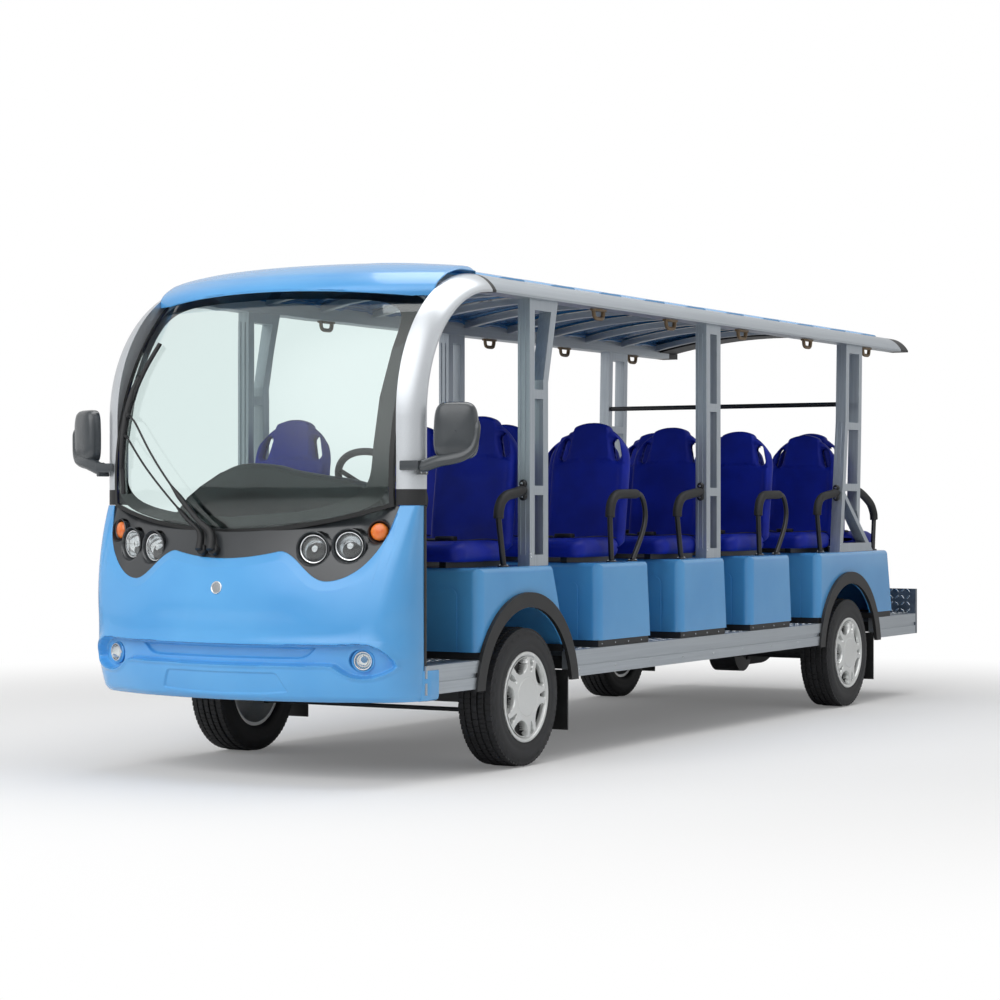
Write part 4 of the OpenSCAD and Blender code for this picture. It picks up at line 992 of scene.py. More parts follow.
def block_ring_tree():
    """Blocks set round a wheel."""
    inputs = [("Count", "Int", 60)]
    for key, value in (("Radius", 0.27), ("Offset", 0.0), ("Length", 0.02), ("Width", 0.02), ("Height", 0.01),
                       ("Skew", 0.3)):
        inputs.append((key, "Float", value))
    t, i = new_tree("tread_blocks", inputs)
    ring = add(t, "GeometryNodeMeshCircle", [("Vertices", i, "Count"), ("Radius", i, "Radius")])
    size = add(t, "ShaderNodeCombineXYZ", [("X", i, "Height"), ("Y", i, "Length"), ("Z", i, "Width")])
    cube = add(t, "GeometryNodeMeshCube", [("Size", size, 0)])
    place = add(t, "GeometryNodeInputPosition")
    face = add(t, "FunctionNodeAlignRotationToVector", [("Vector", place, 0)], axis="X", pivot_axis="Z")
    skew = add(t, "ShaderNodeCombineXYZ", [("X", i, "Skew")])
    turned = add(t, "FunctionNodeRotateRotation", [("Rotation", face, 0), ("Rotate By", skew, 0)],
                 rotation_space="LOCAL")
    lift = add(t, "ShaderNodeCombineXYZ", [("Z", i, "Offset")])
    set_out(t, i, ring, cube, ("Rotation", turned, 0), ("Translation", lift, 0))
    return t


def grown(tree, name, **values):
    """The mesh a tree makes with these inputs."""
    mesh = bpy.data.meshes.new(name)
    o = bpy.data.objects.new(name, mesh)
    bpy.context.collection.objects.link(o)
    mod = o.modifiers.new("grow", "NODES")
    mod.node_group = tree
    ids = {s.name: s.identifier for s in tree.interface.items_tree if s.in_out == "INPUT"}
    for key, value in values.items():
        mod[ids[key]] = value
    out = bpy.data.meshes.new_from_object(o.evaluated_get(bpy.context.evaluated_depsgraph_get()))
    o.modifiers.remove(mod)
    bpy.data.objects.remove(o)
    return out


def join(name, parts, mats):
    """One mesh from (mesh, matrix) pairs that share a material list."""
    b = bmesh.new()
    for mesh, place in parts:
        c = mesh.copy()
        c.transform(place)
        if place.determinant() < 0:
            c.flip_normals()
        b.from_mesh(c)
        bpy.data.meshes.remove(c)
    out = bpy.data.meshes.new(name)
    b.to_mesh(out)
    b.free()
    for m in mats:
        out.materials.append(m)
    return out


# tyres and wheel covers

TYRE_R, TYRE_W = 280.0, 165.0
# rows of tread blocks: offset, number, length round the tyre, width, skew, drop below the crown
TREAD = [(-61, 76, 20.0, 25, -0.12, 3.2), (-30, 88, 17.0, 24, 0.2, 0.0), (0, 60, 26.5, 22, 0.0, 0.0),
         (30, 88, 17.0, 24, 0.2, 0.0), (61, 76, 20.0, 25, -0.12, 3.2)]
TREAD_H, TREAD_SUNK, TREAD_BEVEL, SHOULDER_LUGS = 11.8, 6.4, 1.2, 30


def tyre_line():
    """Profile of a tyre as radius and place across it: one wall, the grooved crown, then the wall again."""
    w = TYRE_W / 2
    wall = [(173, -w + 15), (178, -w + 6), (190, -w + 1.5), (206, -w + 0.4), (214, -w + 1.6), (217, -w + 0.6),
            (232, -w), (246, -w + 1.2), (250, -w + 2.8), (258, -w + 3.2), (266, -w + 6.5), (271, -w + 11),
            (274, -w + 19)]
    crown = []
    for a in (-46, -15, 15, 46):
        crown += [(275.5, a - 5), (270, a - 3), (270, a + 3), (275.5, a + 5)]
    return wall + crown + [(h, -z) for h, z in reversed(wall)]


def tyres():
    tree = block_ring_tree()
    blocks = []
    for off, count, length, width, skew, drop in TREAD:
        radius = (TYRE_R - TREAD_SUNK - drop) / 1000
        blocks.append(grown(tree, "tread_row", Count=count, Radius=radius, Offset=off / 1000,
                            Length=length / 1000, Width=width / 1000, Height=TREAD_H / 1000, Skew=skew,
                            Material=tyre_rubber))
    line, w = tyre_line(), TYRE_W / 2
    for name, side, y in WHEELS:
        hub = placed(side * WHEEL_X, y, HUB_Z, 90, "Y")
        s = Shape()
        s.lathe(line, hub, 120)
        for k in range(SHOULDER_LUGS):
            c = hub @ Matrix.Rotation(2 * math.pi * k / SHOULDER_LUGS, 4, "Z")
            for face in (-1, 1):
                s.grid([[c @ Vector((253 + u, v, face * (w - 1 - e))) for v in (-9, 9)]
                        for u, e in ((-5, 0), (-4, 0), (4, 0), (8, 2.8))])
        body, instead = name + "_wheel", ("tyre_" + name,)
        s.piece("tyre_carcass_" + name, [tyre_rubber], body, instead, angle=50, outward=False)
        place = Matrix.Translation(mm(side * WHEEL_X, y, HUB_Z)) @ Matrix.Rotation(math.radians(90), 4, "Y")
        tread = join("tyre_tread_" + name, [(m, place) for m in blocks], [tyre_rubber])
        edge = show("tyre_tread_" + name, tread, body, instead).modifiers.new("edge", "BEVEL")
        edge.width = TREAD_BEVEL / 1000
        edge.segments = 1


# radius of a cover, then its windows as shares of it: place and radius, outer edge, inner end of the slots
COVER_R, WINDOW_AT, WINDOW_R, OPEN_TO, NARROW_FROM = 182.0, 0.85, 0.305, 0.872, 0.58
WINDOW_TURN, WINDOW_IN = 36.4, 34


def cover_depth(y, z):
    """Distance inside the openings of a wheel cover: five wide windows, five narrow slots between them."""
    d, rim = 0.0, OPEN_TO * COVER_R - math.hypot(y, z)
    for k in range(5):
        a = math.radians(WINDOW_TURN + 72 * k)
        u, v = y * math.cos(a) + z * math.sin(a), z * math.cos(a) - y * math.sin(a)
        d = max(d, min(WINDOW_R * COVER_R - math.hypot(u - WINDOW_AT * COVER_R, v), rim))
        a += math.radians(36)
        u, v = y * math.cos(a) + z * math.sin(a), z * math.cos(a) - y * math.sin(a)
        wide = 4 + 11 * (u / COVER_R - NARROW_FROM) / 0.29
        d = max(d, min(wide - abs(v), u - NARROW_FROM * COVER_R, rim))
    return d


def wheel_covers():
    """Cover face with its windows, the polished lip and the rim barrel behind."""
    w, n = TYRE_W / 2, 250
    radii = [1, 20, 40, 60, 70, 75, 77, 79, 81, 83, 88, 94] + [97 + 1.6 * k for k in range(42)]
    lip = [(164.5, w - 4), (167, w - 3.5), (169, w + 0.5), (172, w + 2), (179, w + 2), (181.5, w),
           (182, w - 6)]
    barrel = [(20, -4), (50, -4), (50, w - 34), (120, w - 40), (158, w - 36), (158, -w + 18), (172, -w + 18),
              (172, w - 14), (182, w - 6)]
    for name, side, y0 in WHEELS:
        s = Shape()
        rows, dark = [], []
        for r in radii:
            row, deep = [], []
            for k in range(n):
                a = 2 * math.pi * k / n
                y, z = r * math.cos(a), r * math.sin(a)
                d = cover_depth(y, z)
                # domed face with a ring groove, pressed in at the openings and rolled at their edges
                x = w - 3 + 9 * (1 - (r / 164) ** 2) - 2.2 * hill(r, 79, 2.2)
                x -= WINDOW_IN * step(0, 5, d) - 1.5 * step(-9, -1, d) * step(0.5, 0, d)
                row.append(Vector((side * (WHEEL_X + x), y0 + y, HUB_Z + z)))
                deep.append(d > 2.2)
            rows.append(row)
            dark.append(deep)
        s.grid(rows, 0, True)
        # faces deep in the openings take the black plastic: painted shade for the hollow seen through the
        # windows
        for q, (i, k) in enumerate((i, k) for i in range(len(radii) - 1) for k in range(n)):
            if dark[i][k] and dark[i + 1][k] and dark[i][(k + 1) % n]:
                s.m[q] = 1
        place = placed(side * WHEEL_X, y0, HUB_Z, 90 * side, "Y")
        s.lathe(lip, place, 120)
        s.lathe(barrel, place, 96)
        instead = ("wheel_" + name,)
        s.piece("wheel_cover_" + name, [wheel_silver, black_abs], name + "_wheel", instead, angle=40)


# roof: pressed sheets that lap one over the next

def roof_sheets():
    low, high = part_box("roof_panels")
    half, y0, y1 = high[0] * 1000, (low[1] - AXLE_Y) * 1000, (high[1] - AXLE_Y) * 1000
    crown, sheets, rows_along, half_across = 2024.0, 10, 360, 24
    rise = crown - (low[2] * 1000 + 5)
    r0 = (half * half + rise * rise) / (2 * rise)
    wide, pitch = math.asin(half / r0), (y1 - y0) / sheets
    rows = []
    for y in spread(y0, y1, rows_along) + [y1]:
        u = (y - y0) / pitch % 1.0
        # lower under the front cap, and a raised lap across each sheet
        r = r0 - 4 + 9 * step(0, 260, y - y0) + 7.9 * step(0.4, 0.52, u) * step(0.95, 0.9, u)
        row = []
        for k in range(-half_across, half_across + 1):
            a = wide * k / half_across
            row.append(Vector((r * math.sin(a), y, crown - r0 + r * math.cos(a))))
        x, z = row[-1].x, row[-1].z
        for drop in (12, 22):
            row.append(Vector((x, y, z - drop)))
            row.insert(0, Vector((-x, y, z - drop)))
        rows.append(row)
    s = Shape()
    s.grid(rows)
    o = s.piece("roof_sheets", [sky_gelcoat, painted_shade_gelcoat], instead=("roof_panels",), angle=50)
    # the inner face takes the darker gel coat: painted shade under the roof
    walled(o, 4, 1)


# hand loops: distance out, places along as shares of the wheelbase, heights of the foot's faces
HANDLE_X, HANDLE_AT, HANDLE_TOP, HANDLE_FOOT = 695, (0.2035, 0.407, 0.634, 0.866, 1.099), 1882.8, 1874


def grab_handles():
    """Moulded hand loops under the roof rails."""
    s = Shape()
    loop = smooth_path([(0, y, z) for y, z in ((-44, 1880), (-43, 1864), (-37, 1850), (-24, 1844), (0, 1843),
                                               (24, 1844), (37, 1850), (43, 1864), (44, 1880))], 5)
    for side in (1, -1):
        for share in HANDLE_AT:
            off = Vector((side * HANDLE_X, share * REAR_AXLE, 0))
            s.tube([p + off for p in loop], 8.5, 12, 0, 1.15)
            foot = [[off + Vector((u * 13.5 * g, v * 59 * g, z)) for u, v in cut_square(0.7, 0.85)]
                    for z, g in ((HANDLE_TOP, 1), (1876, 1), (HANDLE_FOOT, 0.93))]
            s.capped(foot, off + Vector((0, 0, HANDLE_TOP)), off + Vector((0, 0, HANDLE_FOOT)))
    s.piece("hand_loops", [handle_tan], instead=("grab_handles",), angle=50)


# arm rails: foam grips on bent tube, bolted plates where they meet a post

# distance out, radius of tube and grip, height of the plates on the posts
ARM_X, ARM_TUBE, ARM_GRIP, ARM_PLATE = 691.0, 12, 21, 1110
ARM_FOOT = BASE_TOP + 4
# rails that end at a post: front end and post; loops with two feet; foot of the rearmost rail
POST_RAILS, LOOP_RAILS, LAST_FOOT = ((-130, 53), (1500, 1730), (3140, 3378)), (829, 2396), 3890


def arm_rails():
    tube, grip = Shape(), Shape()
    for side in (1, -1):
        def along(points, n=8):
            return smooth_path([(side * ARM_X, y, z) for y, z in points], n)

        def bent(points, n=4, size=ARM_TUBE):
            tube.tube(along(points, n), size)

        def foot(y):
            m = placed(side * ARM_X, y, BASE_TOP)
            tube.lathe([(0.5, 7), (14, 7), (20, 6), (22, 4), (22, 0)], m, 28)
            for k in range(3):
                a = 2 * math.pi * k / 3
                b = m @ placed(17 * math.cos(a), 17 * math.sin(a), 6)
                tube.lathe([(0.3, 3), (2.6, 2.6), (3.2, 1.4), (3.2, 0)], b, 8, 1)

        def foam(points):
            path = along(points)
            ends = (0, len(path) - 1)
            grip.tube(path, [ARM_GRIP * (0.9 if i in ends else 1.0) for i in range(len(path))], 20)

        for y, post in POST_RAILS:
            foot(y + 20)
            bent([(y + 20, ARM_FOOT), (y, 900), (y - 20, 998), (y - 18, 1010)])
            foam([(y - 20, 996), (y - 16, 1030), (y + 4, 1064), (y + 46, 1087), (y + 110, 1097),
                  (post - 12, 1109)])
            for dz in (-26, 26):
                m = placed(side * ARM_X, post - 1, ARM_PLATE + dz, 90)
                tube.lathe([(0.5, 12), (12, 11), (16, 7), (17, 0)], m, 24)
                tube.lathe([(0.3, 17), (5, 16.4), (6, 15), (6, 11)], m, 6, 1)
            m = placed(side * ARM_X, post - 1, ARM_PLATE, 90)
            tube.lathe([(0.5, 14), (17, 12), (19, 8), (19, 0)], m, 24)
        for y in LOOP_RAILS:
            foot(y)
            foot(y + 200)
            bent([(y, ARM_FOOT), (y - 8, 900), (y - 14, 990), (y - 12, 1010)])
            foam([(y - 14, 996), (y - 10, 1030), (y + 6, 1066), (y + 46, 1092), (y + 110, 1097),
                  (y + 240, 1098)])
            bent([(y + 236, 1098), (y + 276, 1094), (y + 310, 1062), (y + 326, 1010), (y + 316, 960),
                  (y + 278, 900), (y + 200, ARM_FOOT)], 5, 11.5)
        foot(LAST_FOOT)
        foam([(3650, 1126), (3720, 1110), (3800, 1080), (3862, 1048), (3900, 1004), (3908, 968)])
        bent([(3908, 980), (3904, 940), (3896, 870), (LAST_FOOT, ARM_FOOT)])
    tube.piece("arm_tubes", [tube_black, bright_steel], instead=("arm_rails",))
    grip.piece("arm_grips", [grip_foam], instead=("arm_rails",))


# wiper: two arms that carry one blade

# each arm: radius at its foot and further up, then its points across and up with their lift off the glass
WIPER_ARMS = [(17.0, 12.0, [(-40, 880, 0), (-64, 918, 44), (-130, 1000, 40), (-258, 1128, 38),
                            (-380, 1250, 34), (-505, 1370, 27), (-560, 1400, 22)]),
              (15.0, 11.0, [(-96, 880, 0), (-118, 920, 40), (-182, 1000, 36), (-290, 1094, 34),
                            (-420, 1204, 30), (-560, 1320, 22)])]
WIPER_ROD, WIPER_FOOT_Y, BLADE_LIFT, SPINE_LIFT = 4.4, -1072, 12, 22
BLADE = [(-578, 1093), (-588, 1250), (-585, 1423), (-552, 1570), (-510, 1693)]
SPINE = [(-584, 1200), (-588, 1300), (-587, 1400), (-577, 1500), (-560, 1560)]


def wiper():
    s = Shape()
    for x, y in ((-96, -1050), (-40, -1052)):
        s.lathe([(21, -14), (21, 8), (18, 12), (9, 13), (8, 18), (0.5, 19)], placed(x, y, 880, 74), 28)
    for k, (low, mid, arm) in enumerate(WIPER_ARMS):
        x, z, _ = arm[0]
        pts = [Vector((x, WIPER_FOOT_Y + 2 * k, z))]
        pts += [on_glass(x, max(z, 946), lift) for x, z, lift in arm[1:]]
        path = smooth_path(pts, 6)
        size = []
        for i in range(len(path)):
            u = i / (len(path) - 1)
            wide = low + (mid - low) * step(0.05, 0.4, u)
            size.append(wide + (WIPER_ROD - wide) * step(0.44, 0.5, u))
        s.tube(path, size, 14, 0, 0.7)
    blade = smooth_path([on_glass(x, z, BLADE_LIFT) for x, z in BLADE], 8)
    s.tube(blade, 9.0, 10)
    s.tube([p + Vector((0, 8, 0)) for p in blade], 3.5, 8, 1)
    spine = smooth_path([on_glass(x, z, SPINE_LIFT) for x, z in SPINE], 6)
    s.tube(spine, [7 + 6 * math.sin(math.pi * i / (len(spine) - 1)) for i in range(len(spine))], 10, 0, 0.6)
    for x, z in SPINE[:2] + SPINE[3:]:
        s.tube([on_glass(x, z, 8), on_glass(x, z, 24)], 6.0, 8)
    s.tube([on_glass(-560, 1400, 24), on_glass(-590, 1412, 22)], 9.0, 10)
    s.tube([on_glass(-556, 1318, 22), on_glass(-590, 1326, 20)], 6.0, 10)
    s.piece("wiper_set", [black_abs, seal_rubber], instead=("wiper",))


# mirrors

# place and turn of a head, its half width and height, and how square its corners are
MIRROR_AT, MIRROR_W, MIRROR_H, MIRROR_SQUARE = (858, -757, 1327, 28, "Z"), 84.5, 107.5, 0.46
# housing and rim round the glass: depth behind the glass edge, share of the outline
HOUSING = [(-0.5, 0.93), (-2, 0.985), (-6, 1.0), (-22, 1.0), (-34, 0.985), (-44, 0.95), (-51, 0.88),
           (-56, 0.76), (-59.5, 0.55), (-61, 0.25), (-61.5, 0.01)]
MIRROR_RIM = [(-0.5, 0.93), (-3, 0.9), (-8, 0.885)]
# arm: from its foot on the pillar, then under the housing and up its outer side
MIRROR_ROOT = [(749, -834, 1196), (768, -833, 1197)]
MIRROR_SWEEP = [(-62, -40, -112), (-20, -46, -104), (25, -47, -92), (56, -44, -68), (71, -42, -30),
             (76, -40, 10), (78, -36, 36)]
# plates that wrap the pillar: middle, half sizes, then heights with the share of the outline
MIRROR_PLATES = [(752, -828, 6.5, 34, ((1164, 0.9), (1167, 1), (1213, 1), (1216, 0.9))),
          (716, -862, 40, 5.5, ((1180, 0.9), (1183, 1), (1213, 1), (1216, 0.9)))]


def mirror_heads():
    s = Shape()
    for side in (1, -1):
        flip = FLIP if side < 0 else Matrix()
        m = flip @ placed(*MIRROR_AT)
        for line in (HOUSING, MIRROR_RIM):
            rows = []
            for y, k in line:
                row = []
                for a in range(80):
                    t = 2 * math.pi * a / 80
                    c, n = math.cos(t), math.sin(t)
                    x = MIRROR_W * k * math.copysign(abs(c) ** MIRROR_SQUARE, c)
                    tall = MIRROR_H * (1 - (1 - k) * (1 - 0.2 * k))
                    z = tall * math.copysign(abs(n) ** MIRROR_SQUARE, n)
                    row.append(m @ Vector((x * (1.0 - 0.06 * max(0.0, z / 107)), y, z)))
                rows.append(row)
            s.grid(rows, 0, True)
        path = smooth_path([flip @ Vector(p) for p in MIRROR_ROOT] + [m @ Vector(p) for p in MIRROR_SWEEP], 8)
        n = len(path)
        size = [27 - 9 * step(0.35, 0.8, i / n) - 9 * step(0.85, 1.0, i / n) for i in range(n)]
        s.tube(path, size, 18, 0, 0.8)
        for cx, cy, hx, hy, line in MIRROR_PLATES:
            rows = [[flip @ Vector((cx + u * hx * k, cy + v * hy * k, z)) for u, v in cut_square(0.8, 0.8)]
                    for z, k in line]
            s.capped(rows, flip @ Vector((cx, cy, line[0][0])), flip @ Vector((cx, cy, line[-1][0])))
        for dy in (-18, 18):
            bolt = flip @ placed(758, -828 + dy, 1174, 90, "Y")
            s.lathe([(6, 0), (6, 2), (4, 3.4), (0.3, 3.8)], bolt, 12, 1)
    s.piece("mirror_heads", [mirror_grey, bright_steel], instead=("mirror_housings",), angle=50)


# dashboard hood

# outline from the front: share of the half width, height above the dash
HOOD = [(-0.66, -30), (-0.58, 45), (-0.5, 98), (-0.41, 139), (-0.26, 193), (-0.11, 223), (0.09, 218),
        (0.23, 198), (0.43, 178), (0.63, 161), (0.78, 134), (0.87, 100), (0.92, 40), (0.94, -30)]
# section along the bus: place, drop below the outline
HOOD_SECTION = [(-833, 200), (-833, 60), (-832, 24), (-828, 10), (-820, 2), (-808, -2), (-780, -3.5),
                (-755, -2), (-742, 3), (-733, 12), (-729, 26), (-727, 60), (-727, 200)]
HOOD_HALF, HOOD_Z, HOOD_LOW = 655, 985, 950.0


def dash_hood():
    """Moulded hood over the instruments, following the solid's outline."""
    rows = []
    for p in smooth_path([(x, z, 0) for x, z in HOOD], 7):
        x, top = p.x * HOOD_HALF, HOOD_Z + p.y
        rows.append([Vector((x, y, max(HOOD_LOW, top - drop))) for y, drop in HOOD_SECTION])
    s = Shape()
    s.grid(rows)
    walled(s.piece("dash_hood", [hood_abs], angle=60), 2)


# roof front: one smooth moulding

# section: radius from the nose's axis, height
CAP_LINE = [(1300, 1842), (1300, 1868), (1284, 1892), (1250, 1918), (1200, 1945), (1090, 1980), (960, 2001),
            (830, 2013), (700, 2019)]
CAP_BACK, CAP_HALF, CAP_CROWN, CAP_FLANGE, CAP_ROUND = -271.0, 654.0, 2022, 34, 24
# height of the lower edge over the middle of the glass, and how far it comes down at the sides
CAP_EDGE, CAP_EDGE_DROP = 1872, 30


def roof_front():
    """Cap over the glass: a slope turned about the nose's axis that runs into the arch of the roof."""
    line = smooth_path([(r, z, 0) for r, z in CAP_LINE], 10)
    n = 110
    rows = []
    for i in range(-n, n + 1):
        x = CAP_HALF * i / n
        arch = CAP_CROWN - 40 * (abs(x) / CAP_HALF) ** 2.2 - 14 * step(0.95, 1.0, abs(i) / n)
        r_back = math.hypot(NOSE_AXIS - CAP_BACK, x)
        low = CAP_EDGE - CAP_EDGE_DROP * min(1.0, (abs(x) / 600) ** 2)
        row = []
        for p in line:
            p = Vector((p.x, max(p.y, low), 0))
            r, z = max(p.x, r_back), p.y
            # round off where the slope meets the arch
            gap = arch - z
            if gap < 200:
                z = arch - (gap + math.sqrt(gap * gap + CAP_ROUND ** 2)) / 2 + CAP_ROUND / 2
            z = min(z, arch, p.y + CAP_ROUND / 2)
            row.append(Vector((x, NOSE_AXIS - math.sqrt(r * r - x * x), z)))
        # a flange at the back closes the step down to the roof sheets
        row.append(row[-1] + Vector((0, 0.5, -CAP_FLANGE)))
        rows.append(row)
    s = Shape()
    s.grid(rows)
    walled(s.piece("roof_front_skin", [sky_gelcoat], instead=("front_roof_cap",), angle=60), 4)


# raised lugs of the tread plate

def lug_tree():
    """Crossed raised lugs over a flat plate."""
    t, i = new_tree("tread_lugs", [("Size X", "Float", 1.0), ("Size Y", "Float", 0.3), ("Count X", "Int", 30),
                                   ("Count Y", "Int", 9), ("Lug", "Vector", (0.0145, 0.005, 0.0018)),
                                   ("Centre", "Vector", (0, 0, 0))])
    sheet = add(t, "GeometryNodeMeshGrid", [("Size X", i, "Size X"), ("Size Y", i, "Size Y"),
                                            ("Vertices X", i, "Count X"), ("Vertices Y", i, "Count Y")])
    ball = add(t, "GeometryNodeMeshIcoSphere", Radius=1.0, Subdivisions=2)
    lug = add(t, "GeometryNodeTransform", [("Geometry", ball, "Mesh"), ("Scale", i, "Lug")])
    # every other lug is turned the other way, as on a chess board
    index = add(t, "GeometryNodeInputIndex")
    row = add(t, "ShaderNodeMath", [(0, index, 0), (1, i, "Count Y")], operation="DIVIDE")
    row = add(t, "ShaderNodeMath", [(0, row, 0)], operation="FLOOR")
    both = add(t, "ShaderNodeMath", [(0, index, 0), (1, row, 0)], operation="ADD")
    odd = add(t, "ShaderNodeMath", [(0, both, 0)], operation="MODULO")
    odd.inputs[1].default_value = 2.0
    lean = math.radians(45)
    turn = add(t, "ShaderNodeMapRange", [("Value", odd, 0)], To_Min=lean, To_Max=-lean)
    spin = add(t, "ShaderNodeCombineXYZ", [("Z", turn, 0)])
    set_out(t, i, sheet, lug, ("Rotation", spin, 0), ("Translation", i, "Centre"))
    return t


# open stretches of floor: front and rear edge, half width, height; the last is the rear step
OPEN_FLOOR = [(-700, -392, 600, FLOOR_Z), (350, 592, 700, FLOOR_Z), (1122, 1398, 700, FLOOR_Z),
              (1925, 2160, 700, FLOOR_Z), (2690, 3005, 700, FLOOR_Z), (4075, 4390, 690, 451)]
LUG_PITCH = 33


def tread_plates():
    tree = lug_tree()

    def plate(wide, long, nx, ny, centre):
        sizes = {"Size X": wide / 1000, "Size Y": long / 1000, "Count X": nx, "Count Y": ny}
        return grown(tree, "lugs", Centre=centre, Material=bright_steel, **sizes)

    out = []
    for y0, y1, half, z in OPEN_FLOOR:
        nx, ny = int(2 * half / LUG_PITCH), int((y1 - y0) / LUG_PITCH)
        out.append((plate(2 * half, y1 - y0, nx, ny, mm(0, (y0 + y1) / 2, z)), Matrix()))
    # the same plate, upright, on the wall behind the rear step
    upright = Matrix.Translation(mm(0, 4400, 518)) @ Matrix.Rotation(math.radians(90), 4, "X")
    out.append((plate(1400, 110, 43, 4, (0, 0, 0)), upright))
    show("tread_lugs", join("tread_lugs", out, [bright_steel]), "chassis")


# screws

def screw_tree():
    """A row of domed screw heads."""
    t, i = new_tree("screw_row", [("Count", "Int", 4), ("Start", "Vector", (0, 0, 0)),
                                  ("Step", "Vector", (0, 0.1, 0)), ("Head", "Vector", (0.005, 0.005, 0.0022)),
                                  ("Facing", "Vector", (0, 0, 0))])
    line = add(t, "GeometryNodeMeshLine", [("Count", i, "Count"), ("Start Location", i, "Start"),
                                           ("Offset", i, "Step")], mode="OFFSET")
    ball = add(t, "GeometryNodeMeshUVSphere", Segments=14, Rings=6, Radius=1.0)
    head = add(t, "GeometryNodeTransform", [("Geometry", ball, "Mesh"), ("Scale", i, "Head")])
    set_out(t, i, line, head, ("Rotation", i, "Facing"))
    return t


def screws():
    tree = screw_tree()
    side_on, rear_on = (0, math.radians(90), 0), (math.radians(-90), 0, 0)
    # number, start, step, facing, radius of a head
    rows = []
    for side in (1, -1):
        for y in (53, 1730, 3350):
            rows.append((2, (side * 720.5, y + 14, 838), (0, 0, 14), side_on, 5.0))
        for y in (629, 1431, 2196):
            rows.append((4, (side * 729.2, y + 40, 461), (0, 124, 0), side_on, 3.5))
        rows.append((8, (side * 742.5, 440, 366), (0, 330, 0), side_on, 4.5))
    rows.append((9, (-620, 4426.2, 560), (155, 0, 0), rear_on, 4.5))
    out = []
    for count, first, apart, facing, size in rows:
        head = Vector((size, size, size * 0.45)) / 1000
        mesh = grown(tree, "screw_row", Count=count, Start=mm(*first), Step=Vector(apart) / 1000,
                     Facing=facing, Head=head, Material=bright_steel)
        out.append((mesh, Matrix()))
    show("screw_heads", join("screw_heads", out, [bright_steel]), "chassis")


# rubber strips and lower corners behind the cowl

# section of a strip: distance out, place along
STRIP = [(728, -786), (735, -786), (736.5, -783), (736.5, -772), (735, -769), (728, -769)]
# heel: place along and distance out, then height and how far the lower and upper edge roll in
HEEL = [(-802, 733.2), (-785, 737), (-772, 743), (-760, 746.6), (-745, 747.4), (-700, 747.4), (-698.5, 744)]
HEEL_SECTION = [(314.5, 14), (317, 9), (322, 4), (331, 1), (345, 0), (390, 0), (427, 0), (429, 0.8), (430, 3)]


def cowl_strips():
    s = Shape()
    low, high = 430, 1046
    for side in (1, -1):
        heights = [low + 20 * k for k in range(31)] + [high]
        rows = [[Vector((side * x, y, z)) for x, y in STRIP] for z in heights]
        s.capped(rows, Vector((side * 732, -778, low - 1)), Vector((side * 732, -778, high + 1)))
    s.piece("cowl_edge_strips", [seal_rubber])


def cowl_heels():
    """Lower rear corners of the cowl, lapped over the front ends of the sills."""
    s = Shape()
    for side in (1, -1):
        rows = [[Vector((side * (x - roll), y, z)) for z, roll in HEEL_SECTION] for y, x in HEEL]
        s.grid(rows, 0, False, side > 0)
    walled(s.piece("cowl_heels", [sky_gelcoat], angle=50), 1.5)


front_cowl()
lamp_mask()
lamps()
badge()
glass_border()
seats()
tyres()
wheel_covers()
roof_sheets()
grab_handles()
arm_rails()
wiper()
mirror_heads()
dash_hood()
roof_front()
tread_plates()
screws()
cowl_strips()
cowl_heels()

# stage, light and camera

# paper floor: near the bus it takes its light, further out it runs to plain white; radii in metres
FADE_FROM, FADE_TO, FADE_NEAR = 2.6, 6.0, 0.14
# world: strength for diffuse light, and a soft bright patch that paint mirrors
SKY, GLOW_LOW, GLOW_HIGH, GLOW_WAY = 0.33, 0.7, 2.6, (0.2, -0.72, 0.66)
# area lights: name, place, target, size, power
LIGHTS = [("key", (0.0, -9.5, 5.5), (0, -1.5, 0.8), 5.0, 390),
          ("fill", (-6.5, -7.0, 4.0), (0, -1.5, 1.0), 5.0, 120),
          ("top", (1.0, 0.5, 7.5), (0, 0, 0), 6.0, 300),
          ("side", (8.0, 0.5, 3.5), (0, 0.5, 0.8), 5.0, 30)]
# camera solved from the photo: place, tilt and turn in degrees, lens in mm on a 36 mm sensor
CAMERA_AT, CAMERA_TILT, CAMERA_TURN, CAMERA_LENS = (5.6492, AXLE_Y - 8.8166, 1.0596), 90.0581, 29.7396, 90.60


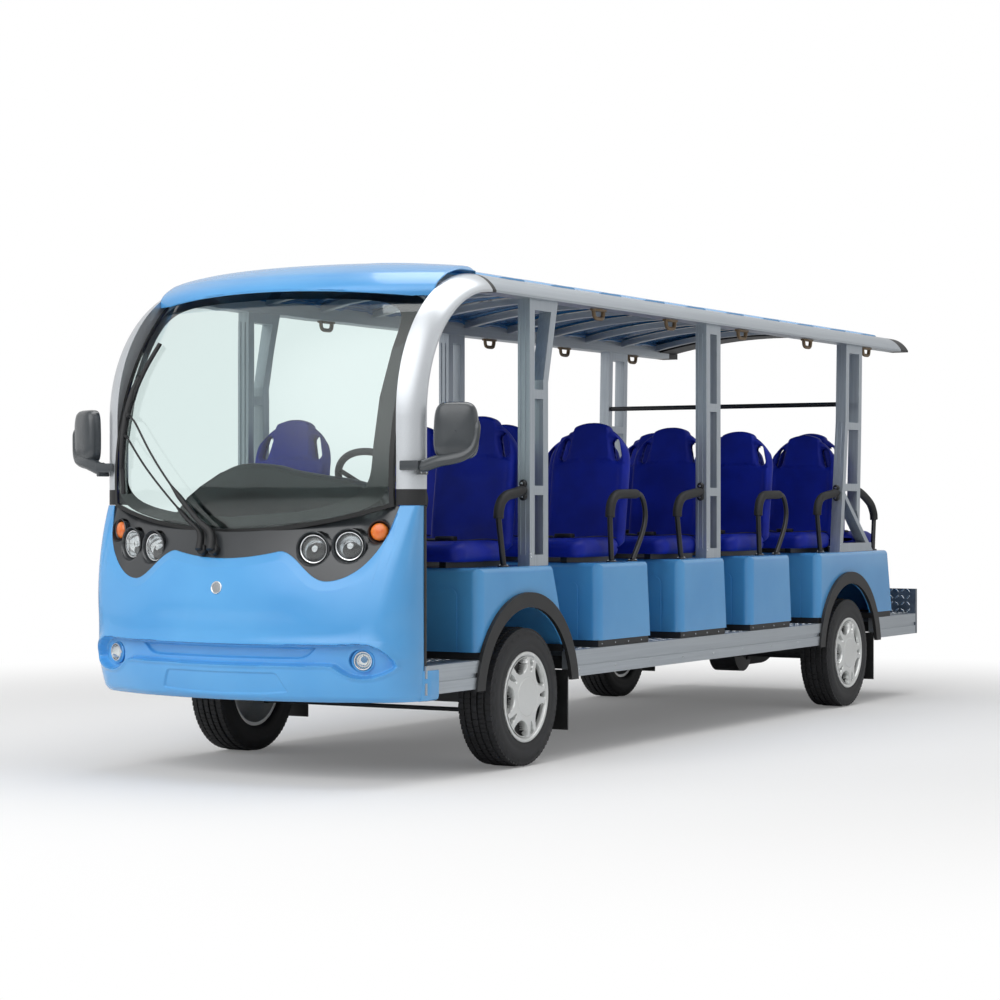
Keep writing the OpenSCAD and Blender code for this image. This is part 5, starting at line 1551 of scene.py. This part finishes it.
def paper_floor():
    bpy.ops.mesh.primitive_plane_add(size=60)
    floor = bpy.context.object
    floor.name = "floor"
    m = bpy.data.materials.new("floor_paper")
    m.use_nodes = True
    t = m.node_tree
    p = t.nodes["Principled BSDF"]
    p.inputs["Base Color"].default_value = (0.9, 0.9, 0.9, 1)
    p.inputs["Roughness"].default_value = 0.9
    p.inputs["Specular IOR Level"].default_value = 0.0
    place = add(t, "ShaderNodeNewGeometry")
    far = add(t, "ShaderNodeVectorMath", [(0, place, "Position")], operation="LENGTH")
    fade = add(t, "ShaderNodeMapRange", [("Value", far, "Value")], interpolation_type="SMOOTHSTEP",
               From_Min=FADE_FROM, From_Max=FADE_TO, To_Min=FADE_NEAR, To_Max=1.0)
    path = add(t, "ShaderNodeLightPath")
    share = add(t, "ShaderNodeMath", [(0, fade, 0), (1, path, "Is Camera Ray")], operation="MULTIPLY")
    white = add(t, "ShaderNodeEmission", Color=(1, 1, 1, 1))
    mix = add(t, "ShaderNodeMixShader", [(0, share, 0), (1, p, 0), (2, white, 0)])
    t.links.new(mix.outputs[0], t.nodes["Material Output"].inputs["Surface"])
    floor.data.materials.append(m)


def studio_world():
    """White to the camera and through glass, dimmer as light, with a soft patch ahead for gloss."""
    world = bpy.data.worlds.new("studio")
    bpy.context.scene.world = world
    world.use_nodes = True
    t = world.node_tree
    path = add(t, "ShaderNodeLightPath")
    way = add(t, "ShaderNodeTexCoord")
    ahead = add(t, "ShaderNodeVectorMath", [(0, way, "Generated")], operation="DOT_PRODUCT")
    ahead.inputs[1].default_value = Vector(GLOW_WAY).normalized()
    glow = add(t, "ShaderNodeMapRange", [("Value", ahead, "Value")], interpolation_type="SMOOTHSTEP",
               From_Min=0.7, From_Max=0.98, To_Min=GLOW_LOW, To_Max=GLOW_HIGH)
    plain = add(t, "ShaderNodeMath", [(0, path, "Is Camera Ray"), (1, path, "Is Transmission Ray")],
                operation="MAXIMUM")
    shine = add(t, "ShaderNodeMix", [("Factor", path, "Is Glossy Ray"), ("B", glow, 0)], A=SKY)
    level = add(t, "ShaderNodeMix", [("Factor", plain, 0), ("A", shine, 0)], B=1.0)
    back = t.nodes["Background"]
    back.inputs["Color"].default_value = (1, 1, 1, 1)
    t.links.new(level.outputs[0], back.inputs["Strength"])


def lights_and_camera():
    for name, place, target, size, power in LIGHTS:
        data = bpy.data.lights.new(name, "AREA")
        data.size = size
        data.energy = power
        lamp = bpy.data.objects.new(name, data)
        bpy.context.collection.objects.link(lamp)
        lamp.location = place
        lamp.rotation_euler = (Vector(target) - Vector(place)).to_track_quat("-Z", "Y").to_euler()
        # no panes of light mirrored in the windscreen
        lamp.visible_glossy = lamp.visible_transmission = name not in ("key", "fill")
    data = bpy.data.cameras.new("camera")
    data.sensor_width = 36.0
    data.lens = CAMERA_LENS
    cam = bpy.data.objects.new("camera", data)
    bpy.context.collection.objects.link(cam)
    cam.location = CAMERA_AT
    cam.rotation_euler = (math.radians(CAMERA_TILT), 0, math.radians(CAMERA_TURN))
    bpy.context.scene.camera = cam
    bpy.context.scene.view_settings.view_transform = "Standard"


paper_floor()
studio_world()
lights_and_camera()
